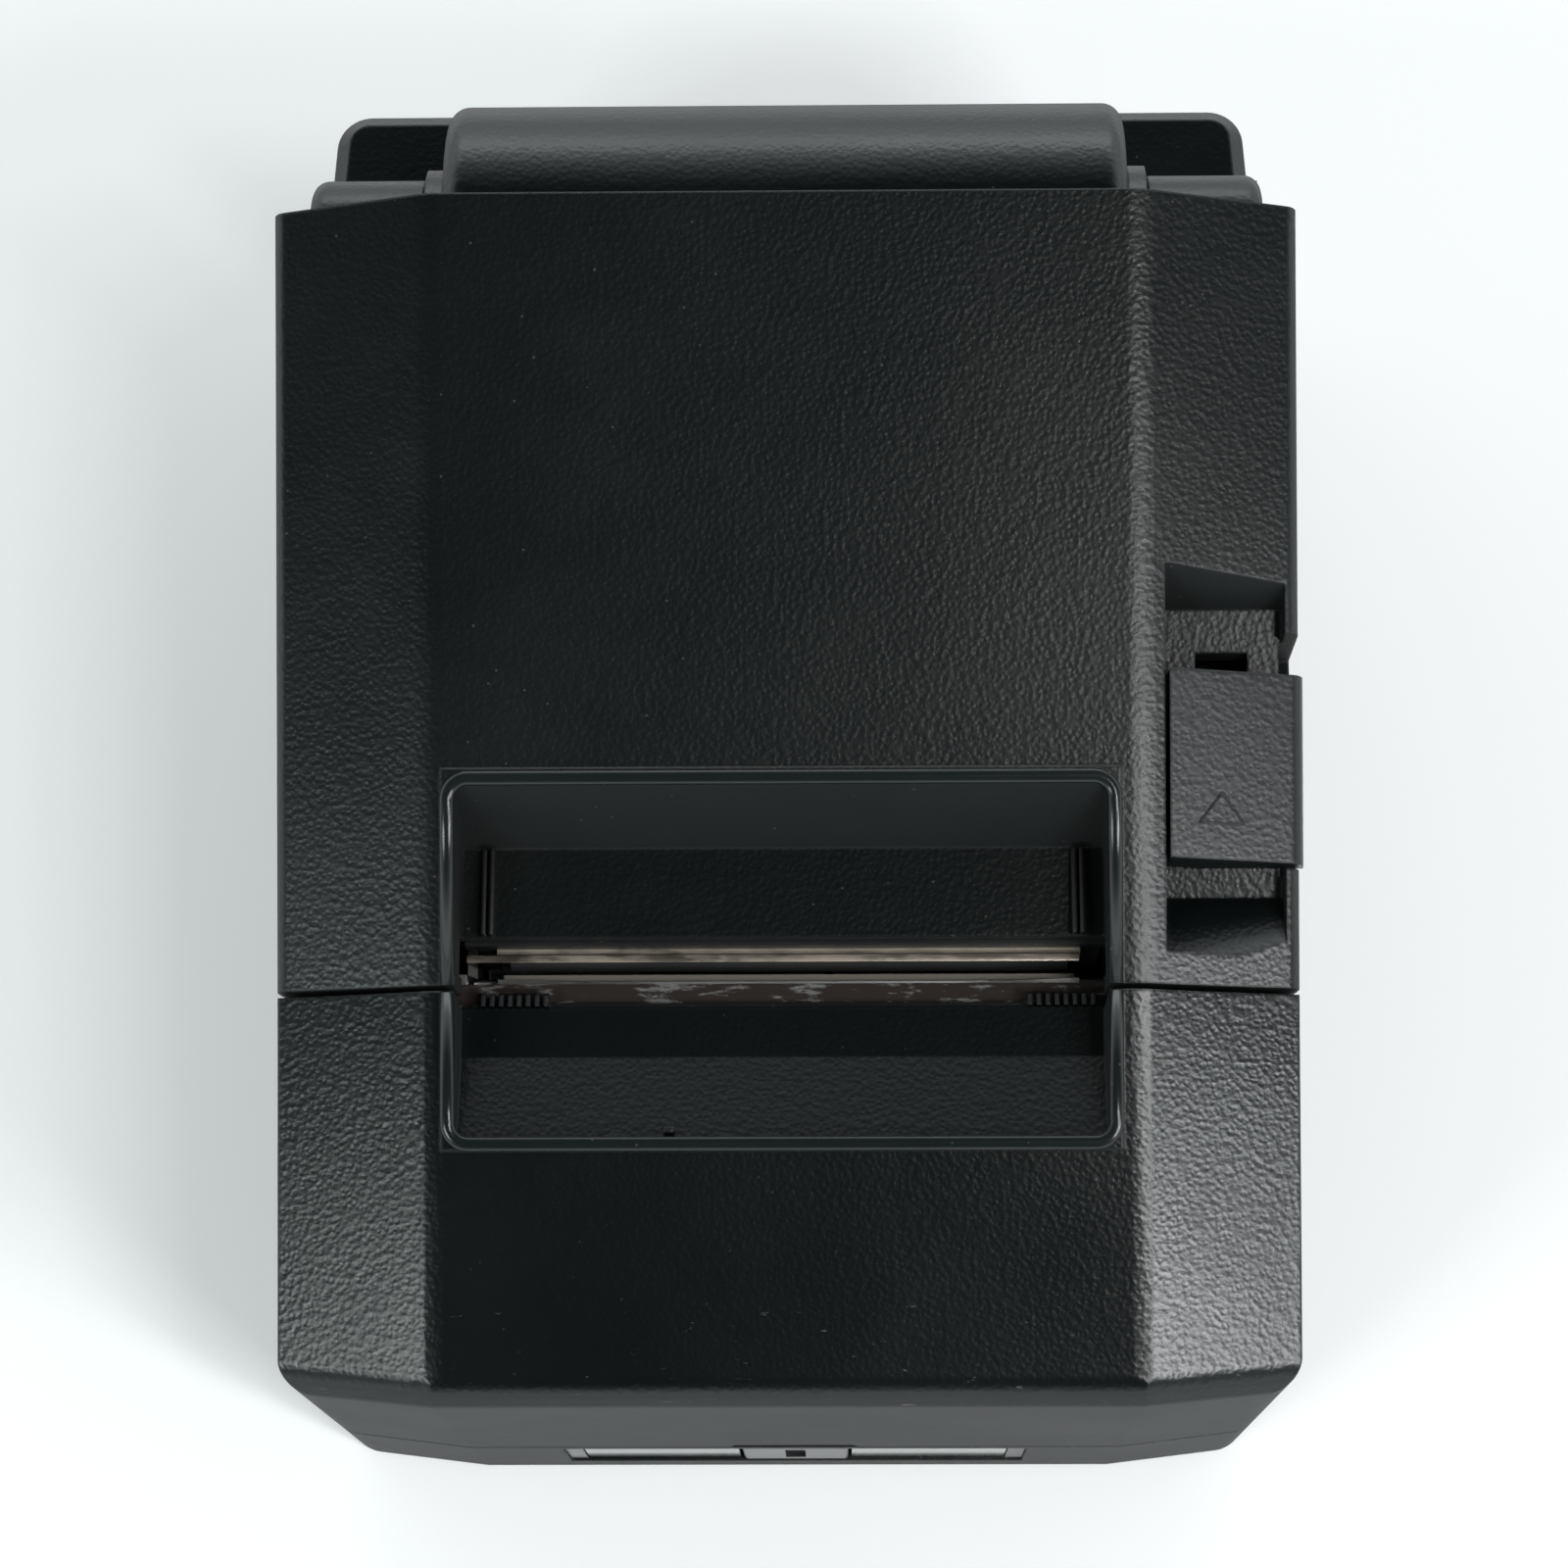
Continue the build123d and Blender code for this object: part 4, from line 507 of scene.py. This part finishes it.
FLOOR_HALF, FLOOR_Z = 4000.0, -0.02
floor_corners = [(-1, -1), (1, -1), (1, 1), (-1, 1)]
floor_points = np.array([[x * FLOOR_HALF, y * FLOOR_HALF, FLOOR_Z] for x, y in floor_corners])
pale_floor, tree, skin, add, place = shader_tree("studio_floor")
skin.inputs["Base Color"].default_value = (0.93, 0.93, 0.93, 1)
skin.inputs["Roughness"].default_value = 0.9
skin.inputs["Specular IOR Level"].default_value = 0.1
skin.inputs["Emission Color"].default_value = (1, 1, 1, 1)
skin.inputs["Emission Strength"].default_value = 0.10
floor_mesh = bpy.data.meshes.new("studio_floor")
floor_mesh.from_pydata((floor_points * MM).tolist(), [], [[0, 1, 2, 3]])
floor_mesh.materials.append(pale_floor)
floor = bpy.data.objects.new("studio_floor", floor_mesh)
bpy.context.scene.collection.objects.link(floor)

# The room is dark straight overhead and pale towards the horizon, a little more so behind.
bpy.context.scene.view_settings.view_transform = "Standard"
world = bpy.data.worlds.new("studio_room")
bpy.context.scene.world = world
world.use_nodes = True
room = world.node_tree
sky = room.nodes["Background"]
sky.inputs["Color"].default_value = (0.92, 0.98, 1.0, 1)
add = node_adder(room)
parts = add("SeparateXYZ", Vector=add("TexCoord").outputs["Generated"])
lean = add("Math", {"operation": "MULTIPLY_ADD"},
           i0=parts.outputs["Y"], i1=-0.16, i2=parts.outputs["Z"])
fade = add("MapRange", {"interpolation_type": "SMOOTHSTEP"},
           Value=lean.outputs[0], i1=0.30, i2=0.80, i3=1.7, i4=0.015)
room.links.new(fade.outputs[0], sky.inputs["Strength"])


def softbox(name, aim, distance, size, radiance, tint=(1, 1, 1)):
    """A rectangular area light at a distance along a direction from the printer, facing it.
    Its power is radiance * pi * area."""
    lamp = bpy.data.lights.new(name, "AREA")
    lamp.shape = "RECTANGLE"
    lamp.size, lamp.size_y = size
    lamp.energy = radiance * np.pi * size[0] * size[1]
    lamp.color = tint
    obj = bpy.data.objects.new(name, lamp)
    bpy.context.scene.collection.objects.link(obj)
    away = Vector(aim).normalized()
    obj.location = Vector((0, 0, 0.1)) + away * distance
    obj.rotation_mode = "QUATERNION"
    obj.rotation_quaternion = (-away).to_track_quat("-Z", "Y")
    return obj


softbox("right_front_softbox", (0.53, -0.45, 0.74), 1.3, (0.36, 0.24), 24.0, (0.96, 0.98, 1.0))
softbox("left_front_softbox", (-0.55, -0.48, 0.74), 1.3, (0.34, 0.22), 15.0, (0.93, 1.0, 0.99))
softbox("crease_strip", (0.33, -0.26, 0.91), 1.4, (0.07, 0.40), 46.0)
softbox("rear_softbox", (0.0, 0.93, 0.36), 1.5, (1.2, 0.3), 2.5, (0.95, 1.0, 0.99))

lens_data = bpy.data.cameras.new("camera")
lens_data.sensor_width, lens_data.lens = 36.0, 90.0
lens_data.clip_start, lens_data.clip_end = 0.01, 20.0
camera = bpy.data.objects.new("camera", lens_data)
bpy.context.scene.collection.objects.link(camera)
bpy.context.scene.camera = camera
aim = Vector((-0.96, -5.45, 75.0)) * MM
camera.location = Vector((8.7, -160.7, 654.6)) * MM
back = (camera.location - aim).normalized()
right = Vector((0, 1, 0)).cross(back).normalized()
camera.rotation_mode = "QUATERNION"
camera.rotation_quaternion = Matrix((right, back.cross(right), back)).transposed().to_quaternion()
